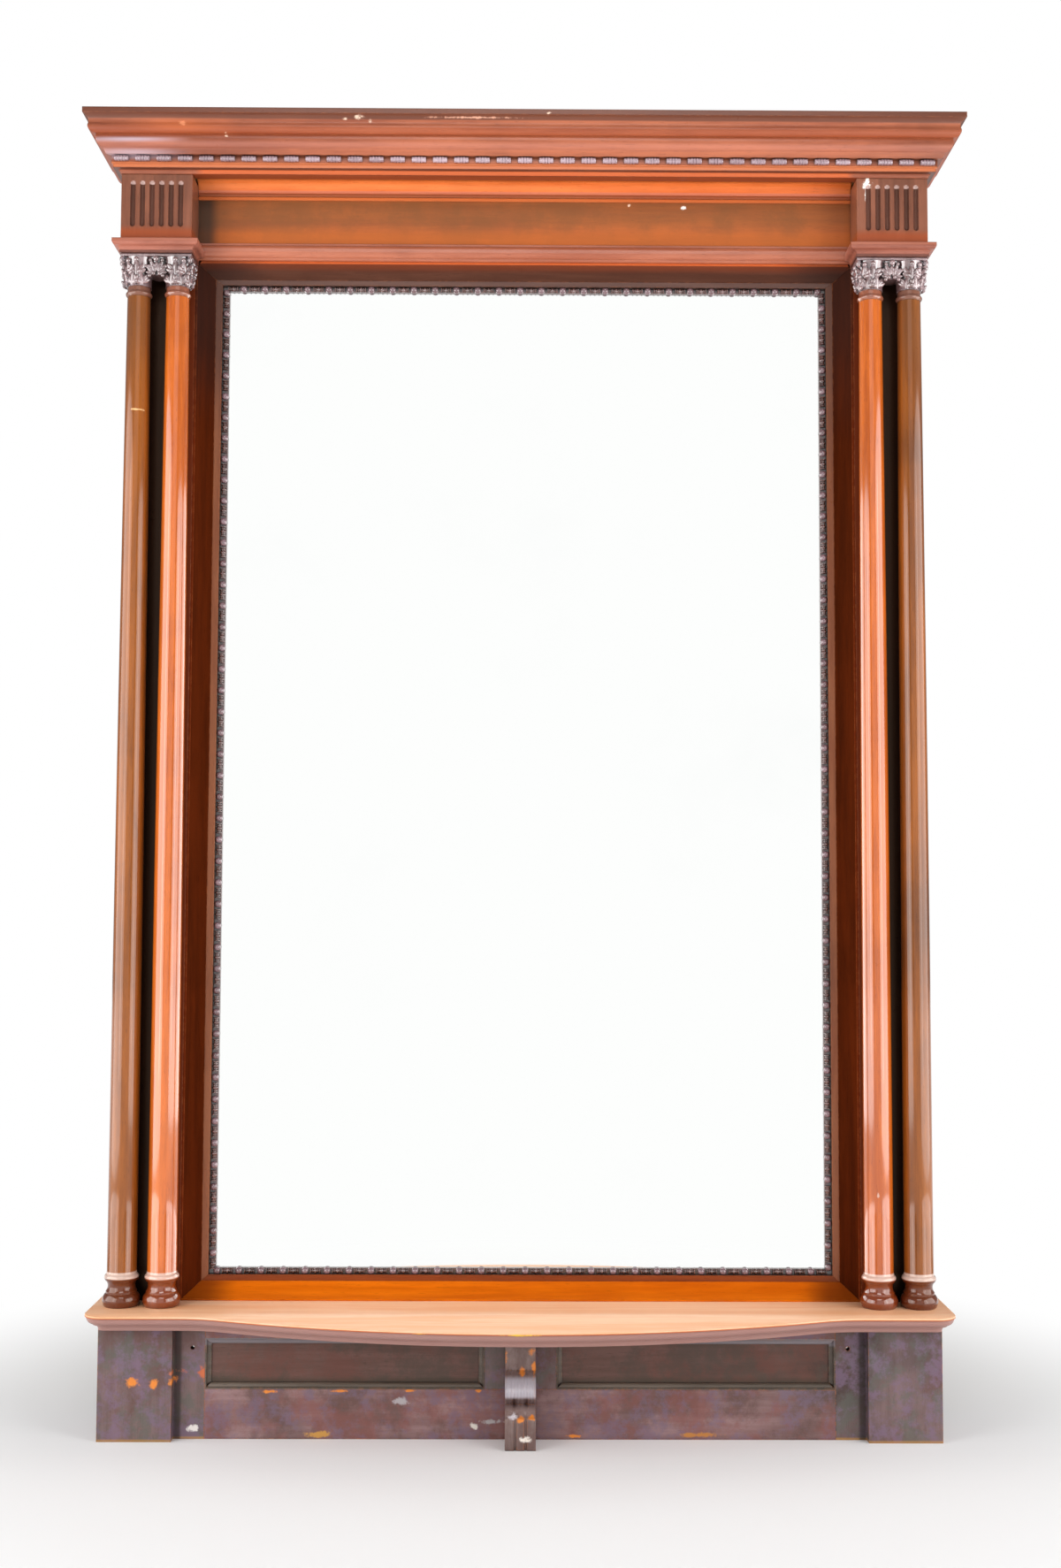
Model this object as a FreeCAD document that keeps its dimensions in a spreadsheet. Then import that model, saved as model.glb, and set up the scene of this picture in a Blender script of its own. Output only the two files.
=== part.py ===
import FreeCAD, Part
import math
import os
import Sketcher

# Tall pier mirror: panelled base, bow-fronted shelf, framed looking glass between
# paired columns, fluted blocks, frieze and moulded cornice.
# Millimetres, +Z up, the front faces -Y, and the floor is at zero.
# Depths are measured forwards from the wall, heights upwards from the floor.

sizes = {
    # looking glass, as seen inside its frame
    "glass_width": 1058,
    "glass_height": 1727,
    "glass_thick": 5,
    "glass_lap": 6,
    "glass_front": 30,
    # stepped frame round the glass, wider at the sides than at head and foot
    "frame_side": 56,
    "frame_head": 43,
    "frame_foot": 49,
    "frame_rise": 40,
    "step_rise": 12,
    "sight_rise": 10,
    "sight_edge": 4,
    # carcass
    "field_width": 120,
    "field_thick": 20,
    "side_thick": 18,
    "back_thick": 10,
    "back_gap": 1,
    "glazing_block": 12,
    "glazing_block_length": 60,
    # base
    "base_height": 187,
    "base_depth": 130,
    "base_board": 18,
    "base_stile_width": 176,
    "base_head_rail": 21,
    "base_foot_rail": 82,
    "base_muntin": 120,
    "panel_thick": 8,
    "panel_rise": 8,
    "panel_edge": 10,
    "plinth_thick": 18,
    "fixing_hole_radius": 3.5,
    "fixing_hole_inset": 21,
    "fixing_hole_height": 150,
    "corner_block": 30,
    "back_rail_height": 60,
    # bow-fronted shelf
    "shelf_thick": 27,
    "shelf_depth": 191,
    "shelf_over": 20,
    "shelf_corner": 35,
    "shelf_lip": 4,
    "shelf_under": 22,
    "bow_rise": 103,
    "bow_reach": 560,
    "bow_hollow": 174,
    # bracket under the middle of the shelf
    "bracket_width": 51,
    "bracket_head": 72,
    "bracket_waist": 32,
    "bracket_belly": 60,
    "bracket_neck": 48,
    "bracket_toe": 64,
    "bracket_toe_height": 52,
    "bracket_groove": 5,
    # turned columns
    "column_gap": 4,
    "column_depth": 103,
    "column_foot_radius": 25,
    "column_neck_radius": 20,
    "column_base_radius": 32,
    "column_base_height": 57,
    "column_ring_radius": 23,
    "column_ring_height": 9,
    "column_neck_height": 8,
    # carved double capital and its moulding
    "capital_height": 55,
    "bell_lip": 2,
    "bell_corner": 14,
    "arch_rise": 14,
    "leaf_half": 8,
    "leaf_root": 3,
    "leaf_roll": 7,
    "volute_radius": 6,
    "volute_thick": 6,
    "knob_radius": 4.5,
    "knob_rise": 3,
    "abacus_height": 22,
    "abacus_over": 12.5,
    # fluted blocks
    "block_width": 124,
    "block_height": 118,
    "block_front": 132,
    "flute_radius": 4.2,
    "flute_pitch": 16.7,
    "flute_height": 81,
    "flute_foot": 25,
    # frieze
    "frieze_height": 132,
    "frieze_rebate": 11,
    "bolection_height": 31,
    "bolection_rise": 12,
    "crown_height": 33,
    "crown_rise": 18,
    # cornice
    "cornice_height": 95,
    "cornice_over": 57,
    "cornice_back": 18,
    "cornice_top_edge": 9,
    "bead_centre_height": 21,
    "bead_centre_over": 19,
    "bead_radius": 5.5,
    "bead_slip": 8,
    "cornice_board": 14,
    "cornice_block": 40,
    # how far a cutting outline runs past what it cuts
    "overrun": 6,
}

sight_share = 0.215
step_share = 0.43
ridge_share = 0.94

# An arc's radius is this share of its run and rise added up: a half is a quarter
# circle where the two are equal, and more is flatter. Minus turns to the right.
left_share = 0.5
right_share = -0.5

doc = FreeCAD.newDocument("pier_mirror")
sheet = doc.addObject("Spreadsheet::Sheet", "Sizes")
for row, (name, value) in enumerate(sizes.items(), start=1):
    sheet.set("A%d" % row, name)
    sheet.set("B%d" % row, str(value))
    sheet.setAlias("B%d" % row, name)
doc.recompute()


class Term:
    """A length as a number, with the text that binds it to the sheet."""

    def __init__(self, value, text):
        self.value = value
        self.text = text

    def __add__(self, other):
        other = term(other)
        return Term(self.value + other.value, "(%s + %s)" % (self.text, other.text))

    def __sub__(self, other):
        other = term(other)
        return Term(self.value - other.value, "(%s - %s)" % (self.text, other.text))

    def __mul__(self, other):
        other = term(other)
        return Term(self.value * other.value, "(%s * %s)" % (self.text, other.text))

    def __truediv__(self, other):
        other = term(other)
        return Term(self.value / other.value, "(%s / %s)" % (self.text, other.text))

    def __neg__(self):
        return Term(-self.value, "(0 - %s)" % self.text)

    def __abs__(self):
        return Term(abs(self.value), "abs(%s)" % self.text)

    __radd__ = __add__
    __rmul__ = __mul__


def term(value):
    if isinstance(value, Term):
        return value
    return Term(value, "(%r)" % value)


class Named:
    """Reads a named size of the sheet as a term."""

    def __getattr__(self, name):
        return Term(sizes[name], "Sizes." + name)


size = Named()
nothing = term(0)

# Places that several pieces share.
half_depth = (size.shelf_depth + size.bow_rise) / 2
half_glass = size.glass_width / 2
shelf_top = size.base_height + size.shelf_thick
glass_back = size.glass_front - size.glass_thick
sight_foot = shelf_top + size.frame_foot
sight_head = sight_foot + size.glass_height
frame_head = sight_head + size.frame_head
case_half = half_glass + size.frame_side + size.field_width
case_inner = case_half - size.side_thick
frame_outer = half_glass + size.frame_side
stile_inner = half_glass + size.frame_side * sight_share
field_front = size.glass_front + size.frame_rise
field_back = field_front - size.field_thick
frieze_top = frame_head + size.frieze_height
soffit = frieze_top + size.frieze_rebate
block_foot = frieze_top - size.block_height
capital_top = block_foot - size.abacus_height
capital_foot = capital_top - size.capital_height
block_inner = case_half - size.block_width
block_middle = case_half - size.block_width / 2
column_pitch = size.column_base_radius * 2 + size.column_gap
cornice_back = size.block_front - size.cornice_back
cornice_top = frieze_top + size.cornice_height

pieces = []


def keep(piece, name, across=nothing, forward=nothing, up=nothing):
    """Names a finished sub-part and puts it in the part's own frame."""
    piece.Label = name
    piece.setExpression("Placement.Base.x", across.text)
    piece.setExpression("Placement.Base.y", (half_depth - forward).text)
    piece.setExpression("Placement.Base.z", up.text)
    pieces.append(piece)
    return piece


def plan(across, depth):
    return across, -term(depth)


def side_view(depth, height):
    return -term(depth), height


def new_body(name):
    return doc.addObject("PartDesign::Body", name + "_body")


def new_sketch(body, plane, offset=nothing):
    """A sketch on one of the body's own planes, moved along the plane's normal."""
    sketch = body.newObject("Sketcher::SketchObject", body.Name + "_sketch")
    support = [item for item in body.Origin.OriginFeatures if item.Role == plane][0]
    sketch.AttachmentSupport = [(support, "")]
    sketch.MapMode = "FlatFace"
    sketch.setExpression("AttachmentOffset.Base.z", offset.text)
    return sketch


def bind(sketch, constraints):
    """Adds constraints, each with the term that its value follows."""
    for constraint, value in constraints:
        index = sketch.addConstraint(constraint)
        if value is not None:
            sketch.setExpression("Constraints[%d]" % index, value.text)


def draw(sketch, corners):
    """Draws a closed outline. A corner is (x, y), or (x, y, turn) at the end of an arc,
    where turn is a share of the run and rise, or a radius."""
    points = [(term(corner[0]), term(corner[1])) for corner in corners]
    turns = [corner[2] if len(corner) > 2 else None for corner in corners]
    first = sketch.GeometryCount
    geometry = []
    ends = []
    radii = []
    for index, start in enumerate(points):
        following = (index + 1) % len(points)
        end = points[following]
        turn = turns[following]
        begin = FreeCAD.Vector(start[0].value, start[1].value, 0)
        finish = FreeCAD.Vector(end[0].value, end[1].value, 0)
        if turn is None:
            geometry.append(Part.LineSegment(begin, finish))
            ends.append((1, 2))
            radii.append(None)
            continue
        if isinstance(turn, Term):
            radius = abs(turn)
            left = turn.value > 0
        else:
            radius = (abs(end[0] - start[0]) + abs(end[1] - start[1])) * abs(turn)
            left = turn > 0
        chord = finish - begin
        rise = math.sqrt(max(radius.value ** 2 - (chord.Length / 2) ** 2, 0))
        normal = FreeCAD.Vector(-chord.y, chord.x, 0).normalize()
        centre = begin + chord * 0.5 + normal * (rise if left else -rise)
        from_point, to_point = (begin, finish) if left else (finish, begin)
        start_angle = math.atan2(from_point.y - centre.y, from_point.x - centre.x)
        end_angle = math.atan2(to_point.y - centre.y, to_point.x - centre.x)
        if end_angle < start_angle:
            end_angle += 2 * math.pi
        circle = Part.Circle(centre, FreeCAD.Vector(0, 0, 1), radius.value)
        geometry.append(Part.ArcOfCircle(circle, start_angle, end_angle))
        ends.append((1, 2) if left else (2, 1))
        radii.append(radius)
    sketch.addGeometry(geometry, False)
    constraints = []
    for index, (across, up) in enumerate(points):
        edge = first + index
        following = (index + 1) % len(points)
        entry, leave = ends[index]
        joins = Sketcher.Constraint("Coincident", edge, leave, first + following, ends[following][0])
        constraints.append((joins, None))
        constraints.append((Sketcher.Constraint("DistanceX", -1, 1, edge, entry, across.value), across))
        constraints.append((Sketcher.Constraint("DistanceY", -1, 1, edge, entry, up.value), up))
        if radii[index] is not None:
            bend = Sketcher.Constraint("Radius", edge, radii[index].value)
            constraints.append((bend, radii[index]))
    bind(sketch, constraints)


def draw_circle(sketch, across, up, radius):
    across, up = term(across), term(up)
    centre = FreeCAD.Vector(across.value, up.value, 0)
    circle = sketch.addGeometry(Part.Circle(centre, FreeCAD.Vector(0, 0, 1), radius.value), False)
    bind(sketch, [
        (Sketcher.Constraint("DistanceX", -1, 1, circle, 3, across.value), across),
        (Sketcher.Constraint("DistanceY", -1, 1, circle, 3, up.value), up),
        (Sketcher.Constraint("Radius", circle, radius.value), radius),
    ])


def pad(body, sketch, length, both_ways=False):
    feature = body.newObject("PartDesign::Pad", body.Name + "_pad")
    feature.Profile = sketch
    feature.setExpression("Length", length.text)
    feature.Midplane = both_ways
    return feature


def cut_through(body, sketch):
    feature = body.newObject("PartDesign::Pocket", body.Name + "_cut")
    feature.Profile = sketch
    feature.Type = "ThroughAll"
    feature.Midplane = True
    return feature


def cut_in(body, sketch, depth, backwards=False):
    feature = body.newObject("PartDesign::Pocket", body.Name + "_recess")
    feature.Profile = sketch
    feature.setExpression("Length", depth.text)
    feature.Reversed = backwards
    return feature


def rectangle(low, high):
    return [low, (high[0], low[1]), high, (low[0], high[1])]


def outline(shares, out, out_run, up, up_run):
    """Corners from rows of (share of the run out, share of the rise, turn)."""
    return [(out + out_run * row[0], up + up_run * row[1]) + tuple(row[2:]) for row in shares]


def flipped(corners):
    """The same corners for a mirrored sketch, where every arc turns the other way."""
    return [tuple(corner[:2]) + tuple(-turn for turn in corner[2:]) for corner in corners]


def backwards(corners):
    """The same edge drawn from its end to its start."""
    turns = [tuple(-turn for turn in corner[2:]) for corner in corners[1:]] + [()]
    return [tuple(corner[:2]) + turn for corner, turn in zip(corners, turns)][::-1]


def half_round(across, up, radius, side):
    """Half of an eight-sided round whose flat lies on the sketch's level line."""
    corner_share = math.sqrt(0.5)
    return [
        (across - radius, up),
        (across - radius * corner_share, up + radius * corner_share * side),
        (across, up + radius * side),
        (across + radius * corner_share, up + radius * corner_share * side),
        (across + radius, up),
    ]


def board(name, across, depth, height, group=False):
    """A plain board or block between two places along each axis."""
    box = doc.addObject("Part::Box", name + "_box")
    box.setExpression("Length", (across[1] - across[0]).text)
    box.setExpression("Width", (depth[1] - depth[0]).text)
    box.setExpression("Height", (height[1] - height[0]).text)
    if group:
        box.setExpression("Placement.Base.x", across[0].text)
        box.setExpression("Placement.Base.y", (-depth[1]).text)
        box.setExpression("Placement.Base.z", height[0].text)
        return box
    return keep(box, name, across[0], depth[1], height[0])


def group(name, members):
    """Several separate solids that share one node."""
    compound = doc.addObject("Part::Compound", name + "_group")
    compound.Links = members
    return keep(compound, name)


def mirror(piece, name):
    """The right-hand twin of a left-hand piece."""
    twin = doc.addObject("Part::Mirroring", name + "_twin")
    twin.Source = piece
    twin.Base = FreeCAD.Vector(0, 0, 0)
    twin.Normal = FreeCAD.Vector(1, 0, 0)
    twin.Label = name
    pieces.append(twin)
    return twin


def run_upright(name, corners, foot, head, mitres=()):
    """An upright piece: a section in plan, run from foot to head."""
    body = new_body(name)
    section = new_sketch(body, "XY_Plane", foot)
    draw(section, [plan(*corner[:2]) + tuple(corner[2:]) for corner in corners])
    pad(body, section, head - foot)
    if mitres:
        ends = new_sketch(body, "XZ_Plane")
        for mitre in mitres:
            draw(ends, mitre)
        cut_through(body, ends)
    return keep(body, name)


def run_across(name, corners, length, mitres=()):
    """A level piece: a section seen from the side, run both ways from the middle."""
    body = new_body(name)
    section = new_sketch(body, "YZ_Plane")
    draw(section, [side_view(*corner[:2]) + tuple(corner[2:]) for corner in corners])
    pad(body, section, length, both_ways=True)
    if mitres:
        ends = new_sketch(body, "XZ_Plane")
        for mitre in mitres:
            draw(ends, mitre)
        cut_through(body, ends)
    return keep(body, name)


# Looking glass
board("mirror_glass",
      (-(half_glass + size.glass_lap), half_glass + size.glass_lap),
      (glass_back, size.glass_front),
      (sight_foot - size.glass_lap, sight_head + size.glass_lap))


# Stepped frame: a section is (distance out from the glass, rise before the glass)
def sight_section(width):
    slip = width * sight_share
    round_share = 0.6
    return [
        (nothing, nothing),
        (slip, nothing),
        (slip, size.sight_edge),
        (slip / 2, size.sight_rise, round_share),
        (nothing, size.sight_edge, round_share),
    ]


def frame_section(width):
    slip = width * sight_share
    hollow_share = 0.9
    return [
        (slip, nothing),
        (width, nothing),
        (width, size.frame_rise),
        (width * ridge_share, size.frame_rise),
        (width * step_share, size.step_rise, hollow_share),
        (slip, size.step_rise),
    ]


def corner_waste(sight_height, outer_height, rail, side):
    """The triangle that a mitre removes from an upright (rail False) or a rail's end."""
    slope = (outer_height - sight_height) / size.frame_side
    inner = half_glass - size.overrun
    outer = frame_outer + size.overrun
    near = sight_height - slope * size.overrun
    far = outer_height + slope * size.overrun
    corner = (outer, near) if rail else (inner, far)
    return [(side * point[0], point[1]) for point in ((inner, near), (outer, far), corner)]


for part_name, section in (("sight", sight_section), ("frame", frame_section)):
    upright = run_upright(
        part_name + "_left",
        flipped([(-half_glass - corner[0], size.glass_front + corner[1]) + corner[2:]
                 for corner in section(size.frame_side)]),
        shelf_top, frame_head,
        [corner_waste(sight_head, frame_head, False, -1),
         corner_waste(sight_foot, shelf_top, False, -1)])
    mirror(upright, part_name + "_right")
    run_across(
        part_name + "_head",
        [(size.glass_front + corner[1], sight_head + corner[0]) + corner[2:]
         for corner in section(size.frame_head)],
        frame_outer * 2,
        [corner_waste(sight_head, frame_head, True, side) for side in (-1, 1)])
    run_across(
        part_name + "_foot",
        flipped([(size.glass_front + corner[1], sight_foot - corner[0]) + corner[2:]
                 for corner in section(size.frame_foot)]),
        frame_outer * 2,
        [corner_waste(sight_foot, shelf_top, True, side) for side in (-1, 1)])

# Carcass behind the frame
stile_left = run_upright("stile_left", [
    (-stile_inner, size.back_thick),
    (-stile_inner, size.glass_front),
    (-frame_outer, size.glass_front),
    (-frame_outer, field_back),
    (-case_inner, field_back),
    (-case_inner, size.back_thick),
], shelf_top, soffit)
mirror(stile_left, "stile_right")

head_rail_foot = sight_head + size.frame_head * sight_share
foot_rail_head = sight_foot - size.frame_foot * sight_share
run_across("head_rail", [
    (size.back_thick, head_rail_foot),
    (size.glass_front, head_rail_foot),
    (size.glass_front, frame_head),
    (field_back, frame_head),
    (field_back, soffit),
    (size.back_thick, soffit),
], stile_inner * 2)

board("foot_rail", (-stile_inner, stile_inner), (size.back_thick, size.glass_front),
      (shelf_top, foot_rail_head))

field_left = board("field_board_left", (-case_inner, -frame_outer), (field_back, field_front),
                   (shelf_top, soffit))
mirror(field_left, "field_board_right")

side_left = board("side_board_left", (-case_half, -case_inner), (nothing, field_front),
                  (shelf_top, frieze_top))
mirror(side_left, "side_board_right")

# Back boards, laid level between the side boards
board_count = 5
board_rise = (soffit - shelf_top) / board_count
back_boards = []
for index in range(board_count):
    foot = shelf_top + board_rise * index
    back_boards.append(board("back_board_%d" % (index + 1), (-case_inner, case_inner),
                             (nothing, size.back_thick), (foot, foot + board_rise - size.back_gap),
                             group=True))
group("back_boards", back_boards)

# Blocks that hold the glass from behind
side_block_shares = (0.15, 0.5, 0.85)
rail_block_shares = (-0.5, 0, 0.5)
block_depth = (glass_back - size.glazing_block, glass_back)


def spread(middle, length):
    return middle - length / 2, middle + length / 2


def inside(edge, width, side):
    """The two edges of a piece that lies within the given edge of one side."""
    if side < 0:
        return -edge, -edge + width
    return edge - width, edge


glazing_blocks = []
for share in side_block_shares:
    heights = spread(sight_foot + size.glass_height * share, size.glazing_block_length)
    for side in (-1, 1):
        glazing_blocks.append(board("glazing_block", inside(stile_inner, size.glazing_block, side),
                                    block_depth, heights, group=True))
for share in rail_block_shares:
    across = spread(half_glass * share, size.glazing_block_length)
    for heights in ((head_rail_foot - size.glazing_block, head_rail_foot),
                    (foot_rail_head, foot_rail_head + size.glazing_block)):
        glazing_blocks.append(board("glazing_block", across, block_depth, heights, group=True))
group("glazing_blocks", glazing_blocks)

# Frieze, set back between the blocks
board("frieze_board", (-frame_outer, frame_outer), (field_back, field_front), (frame_head, soffit))

# Mouldings: (share of how far they stand out, share of their height, turn)
foot_moulding_shares = (
    (0, 0), (0.45, 0), (0.45, 0.14), (1, 0.5, left_share), (0.3, 0.88, left_share), (0.3, 1), (0, 1),
)
crown_moulding_shares = (
    (0, 0), (0.2, 0), (0.2, 0.16), (0.1, 0.2), (0.18, 0.38, left_share), (0.18, 0.42), (0.28, 0.42),
    (1, 0.9, right_share), (1, 1), (0, 1),
)
abacus_reach = block_inner - size.abacus_over
notch_foot = frame_head - size.overrun
run_across("frieze_foot_moulding",
           outline(foot_moulding_shares, field_front, size.bolection_rise, frame_head, size.bolection_height),
           block_inner * 2, [
               rectangle((abacus_reach, notch_foot), (block_inner + size.overrun, block_foot)),
               rectangle((-block_inner - size.overrun, notch_foot), (-abacus_reach, block_foot)),
           ])
run_across("frieze_crown_moulding",
           outline(crown_moulding_shares, field_front, size.crown_rise, soffit - size.crown_height,
                   size.crown_height),
           block_inner * 2)

# Fluted block over each pair of columns, rebated at the top for the cornice
flute_count = 6
first_flute = block_middle + size.flute_pitch * (flute_count - 1) / 2
block = new_body("frieze_block_left")
block_front_view = new_sketch(block, "XZ_Plane", field_front)
draw(block_front_view, rectangle((first_flute - case_half, block_foot),
                                 (first_flute - block_inner, frieze_top)))
pad(block, block_front_view, size.block_front - field_front)
core_view = new_sketch(block, "XZ_Plane", field_front)
draw(core_view, rectangle((first_flute - case_inner, frieze_top - size.overrun),
                          (first_flute - block_inner, soffit)))
pad(block, core_view, cornice_back - field_front)
flute_view = new_sketch(block, "XY_Plane", block_foot + size.flute_foot)
draw(flute_view, half_round(nothing, -size.block_front, size.flute_radius, 1))
flute = cut_in(block, flute_view, size.flute_height, backwards=True)
flutes = block.newObject("PartDesign::LinearPattern", "flutes")
flutes.Originals = [flute]
flutes.Direction = (flute_view, ["H_Axis"])
flutes.setExpression("Length", (size.flute_pitch * (flute_count - 1)).text)
flutes.Occurrences = flute_count
block.Tip = flutes
block_left = keep(block, "frieze_block_left", -first_flute)
mirror(block_left, "frieze_block_right")


# Moulding between capital and block, from its lip down to its foot
abacus_shares = ((1, 0), (1, -0.18), (0.6, -0.5, right_share), (0.12, -0.82, left_share), (0.12, -1))
abacus = new_body("abacus_left")
abacus_view = new_sketch(abacus, "XZ_Plane", field_front)
outer_edge = flipped(outline(abacus_shares, -case_half, -size.abacus_over, block_foot, size.abacus_height))
inner_edge = outline(abacus_shares, -block_inner, size.abacus_over, block_foot, size.abacus_height)
draw(abacus_view, outer_edge + backwards(inner_edge))
pad(abacus, abacus_view, size.block_front + size.abacus_over - field_front)
abacus_front = new_sketch(abacus, "YZ_Plane")
edge = flipped(outline(abacus_shares, -size.block_front, -size.abacus_over, block_foot, size.abacus_height))
lip, foot_lip = edge[1][:2], edge[-1]
waste_edge = -size.block_front - size.abacus_over - size.overrun
draw(abacus_front, [lip] + edge[2:-1] + [
    (foot_lip[0], capital_top - size.overrun),
    (waste_edge, capital_top - size.overrun),
    (waste_edge, lip[1]),
])
cut_through(abacus, abacus_front)
abacus_left = keep(abacus, "abacus_left")
mirror(abacus_left, "abacus_right")

# Double capital: two bells cut from one block, with an arch between the columns
capital = new_body("capital_left")
column_places = [block_middle + column_pitch / 2, block_middle - column_pitch / 2]
bell_foot = size.column_neck_radius + size.bell_lip
bell_waist = bell_foot + size.bell_lip
waist_share = 0.4
bell_share = 0.85
waist_height = capital_foot + size.capital_height * waist_share
bell_top = capital_foot + size.capital_height * bell_share
# Arch: (share of half its width, share of its rise)
arch_shares = ((-1, 0), (-0.75, 0.6), (-0.35, 0.93), (0, 1), (0.35, 0.93), (0.75, 0.6), (1, 0))
arch_half = column_pitch / 2 - bell_foot
capital_view = new_sketch(capital, "XZ_Plane", field_front)
draw(capital_view, [
    (-case_half, capital_top),
    (-case_half, bell_top),
    (-column_places[0] - bell_waist, waist_height),
    (-column_places[0] - bell_foot, capital_foot),
] + [
    (-block_middle + arch_half * across_share, capital_foot + size.arch_rise * up_share)
    for across_share, up_share in arch_shares
] + [
    (-column_places[1] + bell_foot, capital_foot),
    (-column_places[1] + bell_waist, waist_height),
    (-block_inner, bell_top),
    (-block_inner, capital_top),
])
pad(capital, capital_view, size.block_front - field_front)
swell_view = new_sketch(capital, "YZ_Plane")
draw(swell_view, [
    side_view(size.block_front, bell_top),
    side_view(size.column_depth + bell_waist, waist_height),
    side_view(size.column_depth + bell_foot, capital_foot),
    side_view(size.column_depth + bell_foot, capital_foot - size.overrun),
    side_view(size.block_front + size.overrun, capital_foot - size.overrun),
    side_view(size.block_front + size.overrun, bell_top),
])
draw(swell_view, [
    side_view(field_front, bell_top),
    side_view(size.column_depth - bell_waist, waist_height),
    side_view(size.column_depth - bell_foot, capital_foot),
    side_view(size.column_depth - bell_foot, capital_foot - size.overrun),
    side_view(field_front - size.overrun, capital_foot - size.overrun),
    side_view(field_front - size.overrun, bell_top),
])
cut_through(capital, swell_view)
corner_view = new_sketch(capital, "XY_Plane", capital_foot)
for place in column_places:
    for side in (-1, 1):
        for front in (-1, 1):
            outer = (-place + bell_waist * side, -size.column_depth + bell_waist * front)
            draw(corner_view, [
                outer,
                (outer[0] - size.bell_corner * side, outer[1]),
                (outer[0], outer[1] - size.bell_corner * front),
            ])
cut_in(capital, corner_view, waist_height - capital_foot, backwards=True)

# Round knob in eight flat sides, as shares of its radius
knob_shares = ((-1, -0.4), (-0.4, -1), (0.4, -1), (1, -0.4), (1, 0.4), (0.4, 1), (-0.4, 1), (-1, 0.4))
knob_height = bell_top - size.volute_radius
knob_view = new_sketch(capital, "XZ_Plane", size.column_depth)
for side in (-1, 1):
    for height in (knob_height, capital_foot + size.arch_rise + size.knob_radius):
        draw(knob_view, outline(knob_shares, size.knob_radius * side - block_middle, size.knob_radius,
                                height, size.knob_radius))
pad(capital, knob_view, size.block_front - size.column_depth + size.knob_rise)

# Leaf from its front: (share of its half width, share of its height)
leaf_shares = ((-0.5, 0), (-1, 0.5), (-0.55, 0.82), (0, 1), (0.55, 0.82), (1, 0.5), (0.5, 0))
# Leaf from its side: (share of how far its tip rolls out, share of its height)
roll_shares = ((0, 0), (0.3, 0.5), (1, 0.85), (0.6, 1))
leaf_angle = 45


def set_round(body, place, angle, carved):
    """Places something carved on a bell, turned about the column's axis from the front."""
    body.Placement.Rotation = FreeCAD.Rotation(FreeCAD.Vector(0, 0, 1), angle)
    body.setExpression("Placement.Base.x", (-place).text)
    body.setExpression("Placement.Base.y", (-size.column_depth).text)
    body.setExpression("Placement.Base.z", capital_foot.text)
    carved.append(body)


def carved_leaf(foot, height, reach, roll):
    """A leaf whose tip rolls forwards, drawn from its column's axis and the capital's foot."""
    body = new_body("leaf")
    front_view = new_sketch(body, "XZ_Plane", reach - size.leaf_root)
    draw(front_view, outline(leaf_shares, nothing, size.leaf_half, foot, height))
    pad(body, front_view, size.leaf_root + roll)
    profile = new_sketch(body, "YZ_Plane")
    edge = [side_view(reach + roll * row[0], foot + height * row[1]) for row in roll_shares]
    past = reach + roll + size.overrun
    draw(profile, edge + [
        side_view(reach + roll * roll_shares[-1][0], foot + height + size.overrun),
        side_view(past, foot + height + size.overrun),
        side_view(past, foot - size.overrun),
        side_view(reach, foot - size.overrun),
    ])
    cut_through(body, profile)
    return body


def corner_volute():
    """A flat-sided scroll end that stands out along the diagonal under the abacus."""
    body = new_body("volute")
    profile = new_sketch(body, "YZ_Plane")
    reach = bell_waist + size.bell_corner
    draw(profile, [side_view(*corner) for corner in
                   outline(knob_shares, reach, size.volute_radius, knob_height - capital_foot,
                           size.volute_radius)])
    pad(body, profile, size.volute_thick, both_ways=True)
    return body


# Row of leaves: (share of the capital's height at its foot, share that it is tall, share of the roll)
leaf_row_shares = ((0, 0.48, 1), (0.3, 0.54, 1.3))
leaf_row_reaches = (bell_foot, bell_waist)
# Where each row has its leaves, in eighths of a turn from the front, plus being towards the middle
leaf_row_turns = ((1, 0, -1, -2), (0.5, -0.5, -1.5))
carved = [capital]
for place, way in zip(column_places, (1, -1)):
    for row_shares, reach, turns in zip(leaf_row_shares, leaf_row_reaches, leaf_row_turns):
        foot_share, tall_share, roll_share = row_shares
        for turn in turns:
            one = carved_leaf(size.capital_height * foot_share, size.capital_height * tall_share,
                              reach, size.leaf_roll * roll_share)
            set_round(one, place, leaf_angle * turn * way, carved)
    set_round(corner_volute(), place, -leaf_angle * way, carved)
carving = doc.addObject("Part::MultiFuse", "carving")
carving.Shapes = carved
capital_left = keep(carving, "capital_left")
mirror(capital_left, "capital_right")


# Columns: a turned base and neck ring, and a shaft that thins in a slow curve
# Base and ring: (share of the radius, share of the height)
column_base_shares = (
    (0.84, 0.0), (1.0, 0.12), (1.0, 0.32), (0.74, 0.56), (0.74, 0.7),
    (0.88, 0.83), (0.88, 0.95), (0.8, 1.0),
)
ring_shares = ((0.2, 0.0), (1.0, 0.3), (1.0, 0.7), (0.2, 1.0))
# Shaft: (share of the height, share of the thinning)
entasis_shares = ((0, 0), (0.55, 0.25), (1, 1))
shaft_foot = shelf_top + size.column_base_height
ring_foot = capital_foot - size.column_neck_height - size.column_ring_height


def turn_outline(name, outline):
    """A body turned about the upright axis from half of its outline."""
    body = new_body(name)
    view = new_sketch(body, "XZ_Plane")
    draw(view, outline)
    turned = body.newObject("PartDesign::Revolution", "turned")
    turned.Profile = view
    turned.ReferenceAxis = (view, ["V_Axis"])
    turned.Angle = 360
    return body


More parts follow.
